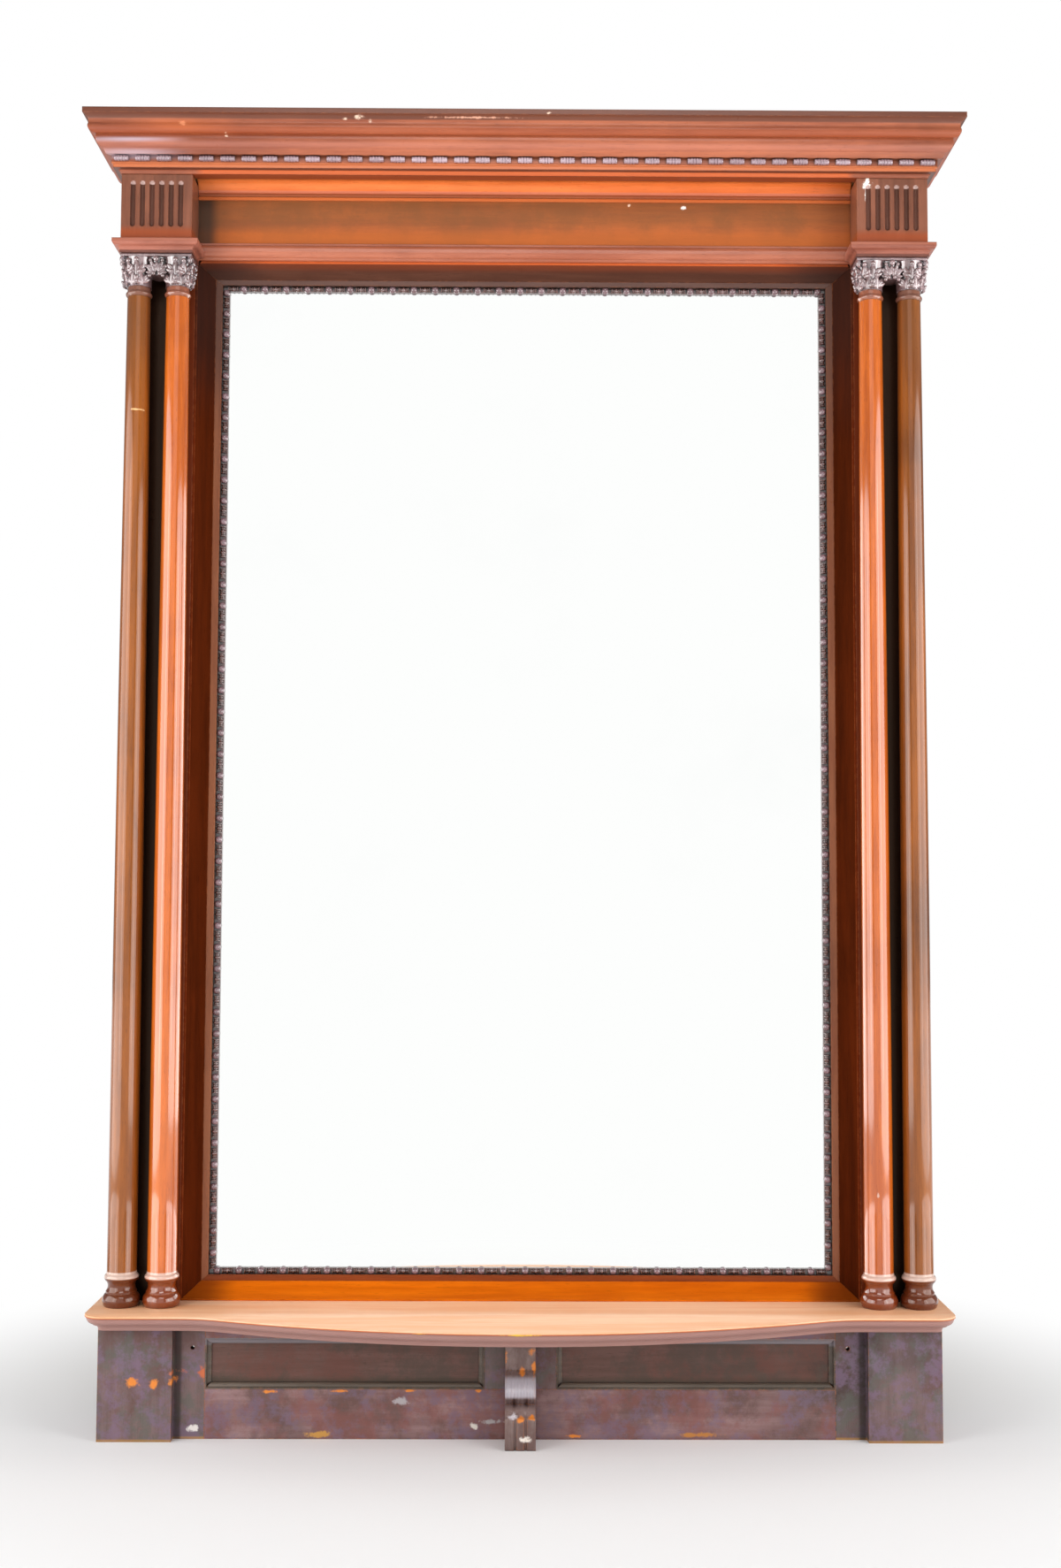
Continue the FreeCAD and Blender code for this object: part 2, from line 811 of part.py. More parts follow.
def tapered_shaft(name):
    """A round shaft through level rings, each an ellipse whose two radii are alike."""
    rings = []
    thinning = size.column_foot_radius - size.column_neck_radius
    for up_share, thinning_share in entasis_shares:
        radius = size.column_foot_radius - thinning * thinning_share
        ring = doc.addObject("Part::Ellipse", name + "_ring")
        ring.setExpression("MajorRadius", radius.text)
        ring.setExpression("MinorRadius", radius.text)
        ring.setExpression("Placement.Base.z", (shaft_foot + (ring_foot - shaft_foot) * up_share).text)
        rings.append(ring)
    shaft = doc.addObject("Part::Loft", name + "_shaft")
    shaft.Sections = rings
    shaft.Solid = True
    shaft.Ruled = True
    return shaft


def column(name, across):
    base_outline = [(nothing, shelf_top)]
    for across_share, up_share in column_base_shares:
        base_outline.append((size.column_base_radius * across_share,
                             shelf_top + size.column_base_height * up_share))
    base_outline.append((nothing, shaft_foot))
    ring_over = size.column_ring_radius - size.column_neck_radius
    neck_outline = [(nothing, ring_foot)]
    for across_share, up_share in ring_shares:
        neck_outline.append((size.column_neck_radius + ring_over * across_share,
                             ring_foot + size.column_ring_height * up_share))
    neck_outline += [
        (size.column_neck_radius, ring_foot + size.column_ring_height),
        (size.column_neck_radius, capital_foot),
        (nothing, capital_foot),
    ]
    whole = doc.addObject("Part::MultiFuse", name + "_whole")
    whole.Shapes = [turn_outline(name + "_base", base_outline), tapered_shaft(name),
                    turn_outline(name + "_neck", neck_outline)]
    return keep(whole, name, across, size.column_depth)


for side_name, side in (("left", -1), ("right", 1)):
    column("column_outer_" + side_name, column_places[0] * side)
    column("column_inner_" + side_name, column_places[1] * side)


# Cornice: (share of its reach before the blocks, share of its height, turn)
cornice_foot_shares = ((0, 0), (0.03, 0), (0.15, 0.07, right_share), (0.22, 0.07), (0.22, 0.14))
cornice_head_shares = (
    (0.48, 0.37), (0.66, 0.56, left_share), (0.66, 0.59), (0.74, 0.59), (0.86, 0.72, left_share),
)


def cornice_section():
    """The section, with a flat seat for the bead course between its two rows of shares."""
    seat = size.bead_centre_over - size.bead_slip / 2
    seat_edge = size.bead_centre_over + size.bead_slip / 2
    seat_head = size.bead_centre_height + size.bead_radius
    lower = outline(cornice_foot_shares, nothing, size.cornice_over, nothing, size.cornice_height)
    upper = outline(cornice_head_shares, nothing, size.cornice_over, nothing, size.cornice_height)
    return [(-size.cornice_back, nothing)] + lower + [
        (seat, lower[-1][1]),
        (seat, seat_head),
        (seat_edge, seat_head),
    ] + upper + [
        (size.cornice_over, size.cornice_height - size.cornice_top_edge, right_share),
        (size.cornice_over, size.cornice_height),
        (-size.cornice_back, size.cornice_height),
    ]


cornice_outer = case_half + size.cornice_over
cornice_front_line = size.block_front + size.cornice_over


def cornice_mitre(keep_front, side=-1):
    """The plan triangle past the mitre: behind it for the front, before it for a return."""
    run = size.cornice_over + size.cornice_back + size.overrun
    inner = (case_half - size.cornice_back - size.overrun, cornice_back - size.overrun)
    outer = (inner[0] + run + size.overrun, inner[1] + run + size.overrun)
    corner = (outer[0], inner[1]) if keep_front else (inner[0], outer[1])
    return [plan(side * point[0], point[1]) for point in (inner, outer, corner)]


front = new_body("cornice_front")
front_section = new_sketch(front, "YZ_Plane")
draw(front_section, flipped([side_view(size.block_front + corner[0], frieze_top + corner[1]) + corner[2:]
                             for corner in cornice_section()]))
pad(front, front_section, cornice_outer * 2, both_ways=True)
front_ends = new_sketch(front, "XY_Plane", frieze_top)
draw(front_ends, cornice_mitre(True, -1))
draw(front_ends, cornice_mitre(True, 1))
cut_through(front, front_ends)
keep(front, "cornice_front")

ret = new_body("cornice_left")
return_section = new_sketch(ret, "XZ_Plane")
draw(return_section, flipped([(-case_half - corner[0], frieze_top + corner[1]) + corner[2:]
                              for corner in cornice_section()]))
pad(ret, return_section, cornice_front_line)
return_end = new_sketch(ret, "XY_Plane", frieze_top)
draw(return_end, cornice_mitre(False, -1))
cut_through(ret, return_end)
cornice_left = keep(ret, "cornice_left")
mirror(cornice_left, "cornice_right")


# Bead course: a slip with long raised beads, under the cornice's ovolo
bead_share = 0.75


def bead_course(name, length, count):
    """A run of beads to the right, evenly spaced, standing forward from a slip."""
    body = new_body(name)
    radius = size.bead_radius
    pitch = length / count
    slip_view = new_sketch(body, "XZ_Plane")
    draw(slip_view, rectangle((nothing, -radius), (length, radius)))
    pad(body, slip_view, size.bead_slip / 4)
    bead_view = new_sketch(body, "YZ_Plane", pitch * (1 - bead_share) / 2)
    draw(bead_view, [(up, across) for across, up in half_round(nothing, nothing, radius, -1)])
    bead = pad(body, bead_view, pitch * bead_share)
    run = body.newObject("PartDesign::LinearPattern", name + "_run")
    run.Originals = [bead]
    run.Direction = (bead_view, ["N_Axis"])
    run.setExpression("Length", (length - pitch).text)
    run.Occurrences = count
    body.Tip = run
    return body


bead_height = frieze_top + size.bead_centre_height
slip_plane = size.bead_centre_over - size.bead_slip / 2
course_half = case_half + slip_plane
course_depth = size.block_front + slip_plane
front_bead_count = 36
return_bead_count = 3
front_course = bead_course("bead_course_front", course_half * 2, front_bead_count)
keep(front_course, "bead_course_front", -course_half, course_depth, bead_height)
return_course = bead_course("bead_course_right", course_depth, return_bead_count)
return_course.Placement.Rotation = FreeCAD.Rotation(FreeCAD.Vector(0, 0, 1), 90)
course_right = keep(return_course, "bead_course_right", course_half, course_depth, bead_height)
mirror(course_right, "bead_course_left")

# Shelf: bow-fronted, with a moulded edge
shelf = new_body("shelf")
shelf_half = case_half + size.shelf_over
both_radii = (size.bow_reach * size.bow_reach + size.bow_rise * size.bow_rise) / (size.bow_rise * 2)
bow_radius = both_radii - size.bow_hollow
hollow_share_of_both = size.bow_hollow / both_radii
turn_across = size.bow_reach - size.bow_reach * hollow_share_of_both
turn_depth = size.shelf_depth + size.bow_hollow - (both_radii - size.bow_rise) * hollow_share_of_both
shelf_view = new_sketch(shelf, "XY_Plane", size.base_height)
draw(shelf_view, [
    plan(shelf_half, nothing),
    plan(-shelf_half, nothing),
    plan(-shelf_half, size.shelf_depth - size.shelf_corner),
    plan(-shelf_half + size.shelf_corner, size.shelf_depth) + (size.shelf_corner,),
    plan(-size.bow_reach, size.shelf_depth),
    plan(-turn_across, turn_depth) + (-size.bow_hollow,),
    plan(turn_across, turn_depth) + (bow_radius,),
    plan(size.bow_reach, size.shelf_depth) + (-size.bow_hollow,),
    plan(shelf_half - size.shelf_corner, size.shelf_depth),
    plan(shelf_half, size.shelf_depth - size.shelf_corner) + (size.shelf_corner,),
])
pad(shelf, shelf_view, size.shelf_thick)
edge_view = new_sketch(shelf, "XZ_Plane")
edge_head = shelf_top - size.shelf_lip
edge_rise = edge_head - size.base_height
# Shelf edge: (share of how far it is cut under, share of its height from the top)
shelf_edge_shares = ((0, 0), (0.4, 0.25), (0.6, 0.75), (1, 1))
waste = [(shelf_half + size.overrun, edge_head)]
waste += outline(shelf_edge_shares, shelf_half, -size.shelf_under, edge_head, -edge_rise)
waste += [
    (shelf_half - size.shelf_under, size.base_height - size.overrun),
    (shelf_half + size.overrun, size.base_height - size.overrun),
]
draw(edge_view, waste)
moulded = shelf.newObject("PartDesign::SubtractivePipe", "moulded_edge")
moulded.Profile = edge_view
moulded.Spine = (shelf_view, ["Edge%d" % number for number in range(2, 11)])
keep(shelf, "shelf_board")

# Base
base_inner = case_half - size.base_stile_width
frame_back = size.base_depth - size.base_board
base_head_foot = size.base_height - size.base_head_rail
stile = new_body("base_stile_left")
stile_view = new_sketch(stile, "XZ_Plane", frame_back)
draw(stile_view, rectangle((-case_inner, nothing), (-base_inner, size.base_height)))
draw_circle(stile_view, -base_inner - size.fixing_hole_inset, size.fixing_hole_height,
            size.fixing_hole_radius)
pad(stile, stile_view, size.base_board)
base_stile = keep(stile, "base_stile_left")
mirror(base_stile, "base_stile_right")

frame_depth = (frame_back, size.base_depth)
board("base_head_rail", (-base_inner, base_inner), frame_depth, (base_head_foot, size.base_height))
board("base_foot_rail", (-base_inner, base_inner), frame_depth, (nothing, size.base_foot_rail))
board("base_muntin", (-size.base_muntin / 2, size.base_muntin / 2), frame_depth,
      (size.base_foot_rail, base_head_foot))
panel_front = size.base_depth - size.panel_rise
panel = board("base_panel_left", (-base_inner, -size.base_muntin / 2),
              (panel_front - size.panel_thick, panel_front), (size.base_foot_rail, base_head_foot))
mirror(panel, "base_panel_right")

base_side = board("base_side_left", (-case_half, -case_inner), (nothing, size.base_depth),
                  (nothing, size.base_height))
mirror(base_side, "base_side_right")
plinth = board("plinth_block_left", (-case_half, -block_inner),
               (size.base_depth, size.base_depth + size.plinth_thick), (nothing, size.base_height))
mirror(plinth, "plinth_block_right")

# Moulding round each base panel, four mitred strips
panel_half = (base_inner - size.base_muntin / 2) / 2
panel_middle = size.base_muntin / 2 + panel_half
panel_rise_half = (base_head_foot - size.base_foot_rail) / 2
panel_height = size.base_foot_rail + panel_rise_half


# Strip's section: (share in from the frame's edge, share of the rise over the panel, turn)
strip_shares = ((0, 0), (1, 0), (1, 0.25), (0.25, 0.85, right_share), (0.25, 1), (0, 1))


def strip_waste(half_across, half_up, side, level, rail):
    """The triangle past the mitre at one corner of the panel."""
    over = size.overrun
    run = size.panel_edge + over
    near = (half_across - run, half_up - run)
    far = (half_across + over, half_up + over)
    corner = (far[0], near[1]) if rail else (near[0], far[1])
    return [(side * point[0], level * point[1]) for point in (near, far, corner)]


def panel_strip(name, rail, sign):
    """One strip, drawn round the middle of its panel."""
    body = new_body(name)
    if rail:
        section = new_sketch(body, "YZ_Plane")
        corners = [side_view(panel_front + size.panel_rise * row[1],
                             (panel_rise_half - size.panel_edge * row[0]) * sign) + tuple(row[2:])
                   for row in strip_shares]
        draw(section, corners if sign > 0 else flipped(corners))
        pad(body, section, panel_half * 2, both_ways=True)
        mitres = ((-1, sign), (1, sign))
    else:
        section = new_sketch(body, "XY_Plane")
        corners = [plan((panel_half - size.panel_edge * row[0]) * sign,
                        panel_front + size.panel_rise * row[1]) + tuple(row[2:])
                   for row in strip_shares]
        draw(section, corners if sign > 0 else flipped(corners))
        pad(body, section, panel_rise_half * 2, both_ways=True)
        mitres = ((sign, -1), (sign, 1))
    ends = new_sketch(body, "XZ_Plane")
    for side, level in mitres:
        draw(ends, strip_waste(panel_half, panel_rise_half, side, level, rail))
    cut_through(body, ends)
    return body


strips = []
for rail in (True, False):
    for sign in (-1, 1):
        strips.append(panel_strip("panel_strip", rail, sign))
moulding = doc.addObject("Part::Compound", "panel_moulding_group")
moulding.Links = strips
moulding_left = keep(moulding, "panel_moulding_left", -panel_middle, nothing, panel_height)
mirror(moulding_left, "panel_moulding_right")

# Bracket under the middle of the shelf, shaped like a scroll seen from the side
bracket = new_body("centre_bracket")
bracket_view = new_sketch(bracket, "YZ_Plane")
wall = size.base_depth
# Heights as shares of the way from the toe to the shelf
bracket_head_share = 0.94
bracket_waist_share = 0.52
bracket_belly_share = 0.24
bracket_neck_share = 0.1
concave_share = 0.7
belly_share = 0.75
toe_share = 0.6
bracket_rest = size.base_height - size.bracket_toe_height


def bracket_corner(reach, height_share):
    return side_view(wall + reach, size.bracket_toe_height + bracket_rest * height_share)


draw(bracket_view, [
    side_view(wall, nothing),
    side_view(wall, size.base_height),
    side_view(wall + size.bracket_head, size.base_height),
    bracket_corner(size.bracket_head, bracket_head_share),
    bracket_corner(size.bracket_waist, bracket_waist_share) + (-concave_share,),
    bracket_corner(size.bracket_belly, bracket_belly_share) + (belly_share,),
    bracket_corner(size.bracket_neck, bracket_neck_share) + (toe_share,),
    side_view(wall + size.bracket_toe, size.bracket_toe_height) + (-toe_share,),
    side_view(wall + size.bracket_toe, nothing),
])
pad(bracket, bracket_view, size.bracket_width, both_ways=True)
groove_view = new_sketch(bracket, "XZ_Plane", wall + size.bracket_toe)
for side in (-1, 1):
    groove = size.bracket_width * side / 6
    draw(groove_view, rectangle((groove - size.bracket_groove / 2, nothing),
                                (groove + size.bracket_groove / 2, size.bracket_toe_height)))
cut_in(bracket, groove_view, size.bracket_groove / 2)
keep(bracket, "centre_bracket")

# Glued blocks in the corners of the base
corner_blocks = []
back_rail_heights = (size.base_height - size.back_rail_height, size.base_height)
for side in (-1, 1):
    across = inside(case_inner, size.corner_block, side)
    corner_blocks.append(board("corner_block", across, (frame_back - size.corner_block, frame_back),
                               (nothing, size.base_height), group=True))
    corner_blocks.append(board("corner_block", across, (size.base_board, size.base_board + size.corner_block),
                               back_rail_heights, group=True))
group("base_corner_blocks", corner_blocks)

board("base_back_rail", (-case_inner, case_inner), (nothing, size.base_board), back_rail_heights)

# Cornice carcass
core_half = case_half - size.cornice_back
board("soffit_board", (-core_half, core_half), (nothing, cornice_back), (soffit, soffit + size.cornice_board))
board("cornice_top_board", (-core_half, core_half), (nothing, cornice_back),
      (cornice_top - size.cornice_board, cornice_top))

cornice_block_shares = (-0.8, -0.4, 0, 0.4, 0.8)
cornice_blocks = []
for share in cornice_block_shares:
    cornice_blocks.append(board("cornice_block", spread(case_inner * share, size.cornice_block),
                                (cornice_back - size.cornice_block, cornice_back),
                                (soffit + size.cornice_board, cornice_top - size.cornice_board), group=True))
group("cornice_blocks", cornice_blocks)

doc.recompute()
faults = []
for item in doc.Objects:
    if "Invalid" in item.State or "Error" in item.State:
        faults.append("%s: %s" % (item.Name, item.State))
for piece in pieces:
    if piece.Shape.isNull() or not piece.Shape.isValid() or not piece.Shape.Solids:
        faults.append("%s: no valid solid" % piece.Label)
if faults:
    raise RuntimeError("; ".join(faults))

os.makedirs("parts", exist_ok=True)
for piece in pieces:
    piece.Shape.exportStep("parts/%s.step" % piece.Label)
    print("%-26s %2d solids, %9.0f mm3" % (piece.Label, len(piece.Shape.Solids), piece.Shape.Volume))
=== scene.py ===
# %% [markdown]
# # A mahogany pier mirror
# The real thing is a tall looking glass that once stood between two windows: a panelled base, a
# bow-fronted shelf, paired columns with carved capitals, fluted blocks and a deep cornice. The
# joiner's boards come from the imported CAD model. This lesson adds what a turner, a carver and a
# polisher did to them: round mouldings, beads, leaves, worn polish and a silvered plate.

# %% Load the frame
import math

import bpy
from mathutils import Matrix, Vector


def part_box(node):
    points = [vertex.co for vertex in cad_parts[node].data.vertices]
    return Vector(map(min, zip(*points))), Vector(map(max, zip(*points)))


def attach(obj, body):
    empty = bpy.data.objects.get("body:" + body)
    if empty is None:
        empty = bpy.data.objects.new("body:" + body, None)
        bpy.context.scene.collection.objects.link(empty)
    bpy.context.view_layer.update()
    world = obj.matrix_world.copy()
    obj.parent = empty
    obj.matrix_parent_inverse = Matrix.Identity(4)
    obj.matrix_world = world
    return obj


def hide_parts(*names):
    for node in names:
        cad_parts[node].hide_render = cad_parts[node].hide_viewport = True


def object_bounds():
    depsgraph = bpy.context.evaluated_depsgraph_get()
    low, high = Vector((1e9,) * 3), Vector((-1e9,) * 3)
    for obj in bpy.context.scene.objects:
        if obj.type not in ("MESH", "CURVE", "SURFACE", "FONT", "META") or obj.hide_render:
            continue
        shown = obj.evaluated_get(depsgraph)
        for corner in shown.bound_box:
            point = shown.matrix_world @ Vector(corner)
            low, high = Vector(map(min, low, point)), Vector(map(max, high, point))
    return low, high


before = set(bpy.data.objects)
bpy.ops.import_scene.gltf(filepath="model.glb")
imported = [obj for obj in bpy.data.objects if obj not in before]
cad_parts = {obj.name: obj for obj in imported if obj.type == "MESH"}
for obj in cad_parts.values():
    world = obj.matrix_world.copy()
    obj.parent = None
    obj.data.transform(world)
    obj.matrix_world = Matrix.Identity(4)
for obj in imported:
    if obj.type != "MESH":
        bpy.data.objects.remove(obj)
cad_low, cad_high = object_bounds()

print("CAD box", [round(v, 3) for v in cad_low], [round(v, 3) for v in cad_high])

# %% [markdown]
# ## Places that many pieces share
# A joiner marks the main heights on a rod before cutting anything. Here the rod is read from the
# CAD nodes, so every later piece lands where the solids are, and nothing is measured twice.

# %% Read the joiner's rod
left_block_low, left_block_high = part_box("frieze_block_left")
capital_low, capital_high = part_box("capital_left")
glass_low, glass_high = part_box("mirror_glass")
shelf_low, shelf_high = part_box("shelf_board")
frame_low, frame_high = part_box("frame_left")
wall_y = cad_high.y
case_half = -left_block_low.x
block_inner = -left_block_high.x
block_front = left_block_low.y
field_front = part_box("field_board_left")[0].y
glass_front = glass_low.y
shelf_top = shelf_high.z
frame_outer = -frame_low.x
frame_head = frame_high.z
frieze_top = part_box("cornice_front")[0].z
cornice_top = cad_high.z
crown_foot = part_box("frieze_crown_moulding")[0].z
abacus_low, abacus_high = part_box("abacus_left")
abacus_foot, abacus_head = abacus_low.z, abacus_high.z
print("shelf top %.3f, capital %.3f to %.3f, cornice foot %.3f"
      % (shelf_top, capital_low.z, capital_high.z, frieze_top))

# %% [markdown]
# ## A small language for shaders
# A polisher's finish is a sum of masks: grain, pores, dirt and painted shade in the corners, wear
# and painted glints on the edges. Node graphs for such sums are long when written link by link. One
# class that wraps a socket lets the same sums be written as arithmetic, and one method makes every
# other kind of node.

# %% Shader arithmetic
class Link:
    """One output socket that can be added, multiplied or subtracted like a number."""

    def __init__(self, finish, socket):
        self.finish = finish
        self.socket = socket

    def math(self, operation, other, swapped=False):
        pair = (other, self) if swapped else (self, other)
        return self.finish.node("ShaderNodeMath", {"operation": operation},
                                {0: pair[0], 1: pair[1]})

    def __add__(self, other):
        return self.math("ADD", other)

    def __sub__(self, other):
        return self.math("SUBTRACT", other)

    def __rsub__(self, other):
        return self.math("SUBTRACT", other, swapped=True)

    def __mul__(self, other):
        return self.math("MULTIPLY", other)

    __radd__ = __add__
    __rmul__ = __mul__


class Finish:
    """A material whose Principled surface is fed by expressions, or the node tree of a world."""

    def __init__(self, name, tree=None):
        if tree is None:
            self.material = bpy.data.materials.new(name)
            self.material.use_nodes = True
            tree = self.material.node_tree
            self.surface = tree.nodes["Principled BSDF"]
        self.tree = tree

    def put(self, socket, value):
        if isinstance(value, Link):
            self.tree.links.new(value.socket, socket)
        else:
            socket.default_value = value

    def node(self, kind, settings=None, sockets=None, output=0):
        """Makes a node, sets its settings, then fills its sockets, and gives one output."""
        node = self.tree.nodes.new(kind)
        for name, value in (settings or {}).items():
            setattr(node, name, value)
        for name, value in (sockets or {}).items():
            self.put(node.inputs[name], value)
        return Link(self, node.outputs[output])

    def set(self, **sockets):
        for name, value in sockets.items():
            self.put(self.surface.inputs[name.replace("_", " ")], value)

    def blend(self, mask, low, high):
        """A colour between low and high."""
        return self.node("ShaderNodeMix", {"data_type": "RGBA"}, {0: mask, 6: low, 7: high},
                         output=2)

    def ramp(self, value, low, high):
        """A number that climbs from 0 to 1 while value goes from low to high."""
        return self.node("ShaderNodeMapRange", {"interpolation_type": "SMOOTHSTEP"},
                         {0: value, 1: low, 2: high, 3: 0.0, 4: 1.0})

    def place(self, scale=(1, 1, 1), offset=(0, 0, 0)):
        """The point in the object's own metres, stretched."""
        point = self.node("ShaderNodeTexCoord", output="Object")
        return self.node("ShaderNodeMapping", {},
                         {"Vector": point, "Scale": scale, "Location": offset})

    def stripe(self, point, cloud, axis, low, high, soft):
        """1 between two places along an axis, with an edge that wanders a little. The axis halfX
        counts both ways from the middle."""
        line = self.node("ShaderNodeSeparateXYZ", {}, {"Vector": point}, output=axis[-1])
        if axis.startswith("half"):
            line = line.math("ABSOLUTE", 0)
        line = line + (cloud - 0.5) * soft
        past_low = self.ramp(line, low - soft, low + soft)
        return past_low * (1 - self.ramp(line, high - soft, high + soft))

    def noise(self, point, scale, detail=3.0, roughness=0.55, distortion=0.0):
        return self.node("ShaderNodeTexNoise", {}, {
            "Vector": point, "Scale": scale, "Detail": detail, "Roughness": roughness,
            "Distortion": distortion})


def tone(red, green, blue, alpha=None):
    """A colour given from 0 to 255, as the linear values that a shader wants."""
    linear = [((v / 255 + 0.055) / 1.055) ** 2.4 if v > 10 else v / 255 / 12.92
              for v in (red, green, blue)]
    return tuple(linear) if alpha is None else (*linear, alpha)


print("orange polish as linear values", [round(v, 3) for v in tone(222, 132, 54)])


# %% [markdown]
# ## Raw mahogany
# Mahogany has short dark pores along the grain and wide, soft ribbons of lighter and darker wood.
# It could be a painted texture, but noise stretched along the grain needs no image and runs true
# over every board. Three such noises give ribbons, streaks and pores, and an even one the clouds.

# %% Grain
GRAIN_SCALES = {"x": (1, 14, 14), "y": (14, 1, 14), "z": (14, 14, 1)}
RIBBONS, STREAKS, PORES, CLOUDS = 1.7, 9.0, 55.0, 3.1


def raw_wood(finish, plain, grain, deep, body, light, pore, age):
    """The colour of bare wood, and the clouds, streaks and pores that made it."""
    along = finish.place(GRAIN_SCALES[grain])
    ribbon = finish.noise(along, RIBBONS, 4.0, 0.5, 0.8)
    streak = finish.noise(along, STREAKS, 5.0, 0.65)
    fleck = finish.ramp(finish.noise(along, PORES, 2.0, 0.5), 0.62, 0.72)
    cloud = finish.noise(plain, CLOUDS, 4.0, 0.6)
    colour = finish.blend(finish.ramp(ribbon * 0.6 + streak * 0.4, 0.36, 0.64), body, light)
    colour = finish.blend(finish.ramp(cloud, 0.45, 0.75) * age, colour, deep)
    return finish.blend(fleck * pore, colour, deep), cloud, streak, fleck


print("grain can run along", ", ".join(GRAIN_SCALES))

# %% [markdown]
# ## Dirt and painted shade, faded patches and bands
# Old polish is nearly black where it gathers dirt, fades in patches and wears along lines. Here one
# darkening in the corners stands for dirt and painted shade together. Such darkening could be
# painted into every corner by hand. Ambient occlusion finds the corners by itself, once for wide
# hollows and once for close joints. A band lies between two places along an axis, so one row of
# numbers darkens or brightens a member of a moulding all along, and some bands paint in light and
# shade.

# %% Dirt and painted shade, faded patches and bands
WIDE_HOLLOW, CLOSE_JOINT = 0.05, 0.009
FIRST_PATCHES, PATCH_SHIFT = 9.0, 3.7


def soiled_and_shaded(finish, colour, deep, dirt_and_shade):
    """Soiling and painted shade in corners, found by ambient occlusion of two reaches."""
    wide, close = (finish.node("ShaderNodeAmbientOcclusion", {"samples": 4},
                               {"Distance": distance}, output="AO")
                   for distance in (WIDE_HOLLOW, CLOSE_JOINT))
    shade_and_soil = (1 - finish.ramp(wide, 0.15, 0.8)) * 0.5 + (1 - finish.ramp(close, 0.35, 0.85)) * 0.6
    shade_and_grime = tuple(v * 0.3 for v in deep[:3]) + (1,)
    return finish.blend(finish.ramp(shade_and_soil * dirt_and_shade, 0.0, 1.0), colour, shade_and_grime)


def mottled(finish, colour, shades):
    """Faded shades over each other in patches, each finer than the one before."""
    for number, shade in enumerate(shades):
        layer = finish.place(offset=(number * PATCH_SHIFT, 0, 0))
        blotch = finish.noise(layer, FIRST_PATCHES * (1 + number), 6.0, 0.72)
        colour = finish.blend(finish.ramp(blotch, 0.45, 0.62) * 0.6, colour, shade)
    return colour


def banded(finish, colour, plain, cloud, bands):
    """Bands of another colour, each along one axis or where two stripes cross."""
    for axis, low, high, soft, band_colour, share, *second in bands:
        mask = finish.stripe(plain, cloud, axis, low, high, soft)
        if second:
            mask = mask * finish.stripe(plain, cloud, *second)
        colour = finish.blend(mask * share, colour, (*band_colour, 1))
    return colour


print("dirt reaches %.0f and %.0f mm from a corner" % (WIDE_HOLLOW * 1000, CLOSE_JOINT * 1000))

# %% [markdown]
# ## Worn edges, painted glints and chips
# Hands and dusters rub polish off the edges, and knocks leave chips. On carving and beads the pale
# edge colour is also a painted highlight. Edges could be picked one by one and given a paler
# material. A Bevel node tells how far a rounded normal turns from the flat one, which finds every
# edge at once, and a noise breaks up the wear so that no line is even.

# %% Worn edges, painted glints and chips
EDGE_ROUND, RUBS, CHIP_LOOSENESS = 0.0025, 70.0, 3.4


def edge_wear_and_glint(finish, rub, share):
    """A mask of the rubbed edges, also a painted highlight on carving and beads, and the rounded
    normal.
    """
    round_off = finish.node("ShaderNodeBevel", {"samples": 4}, {"Radius": EDGE_ROUND})
    flat = finish.node("ShaderNodeNewGeometry", output="Normal")
    turn = finish.node("ShaderNodeVectorMath", {"operation": "DOT_PRODUCT"},
                       {0: round_off, 1: flat}, output="Value")
    return finish.ramp(1 - turn, 0.02, 0.2) * finish.ramp(rub, 0.42, 0.62) * share, round_off


def chipped(finish, colour, plain, rub, marks):
    """Chips and scuffs, and also a painted highlight: ragged spots of their own place, size and
    colour.
    """
    for place, size, mark_colour in marks:
        stretch = finish.node("ShaderNodeMapping", {}, {
            "Vector": plain, "Scale": tuple(1 / v for v in size),
            "Location": tuple(-p / v for p, v in zip(place, size))})
        far = finish.node("ShaderNodeVectorMath", {"operation": "LENGTH"}, {0: stretch},
                          output="Value")
        chip = 1 - finish.ramp(far + (rub - 0.5) * CHIP_LOOSENESS, 0.45, 1.15)
        colour = finish.blend(chip, colour, (*mark_colour, 1))
    return colour


print("edges are felt %.1f mm wide" % (EDGE_ROUND * 1000))

# %% [markdown]
# ## Polished wood
# French polish is shellac rubbed on in many thin coats, over which the wood still shows. It could
# be a glass shell over each board. The Principled shader has a coat for just that, so one function
# lays the wood, its dirt and painted shade, and its wear and painted glints under a coat, and every
# finish below only sets its values.

# %% Polished wood
RIPPLES, RIPPLE_DEPTH = 22.0, 0.002


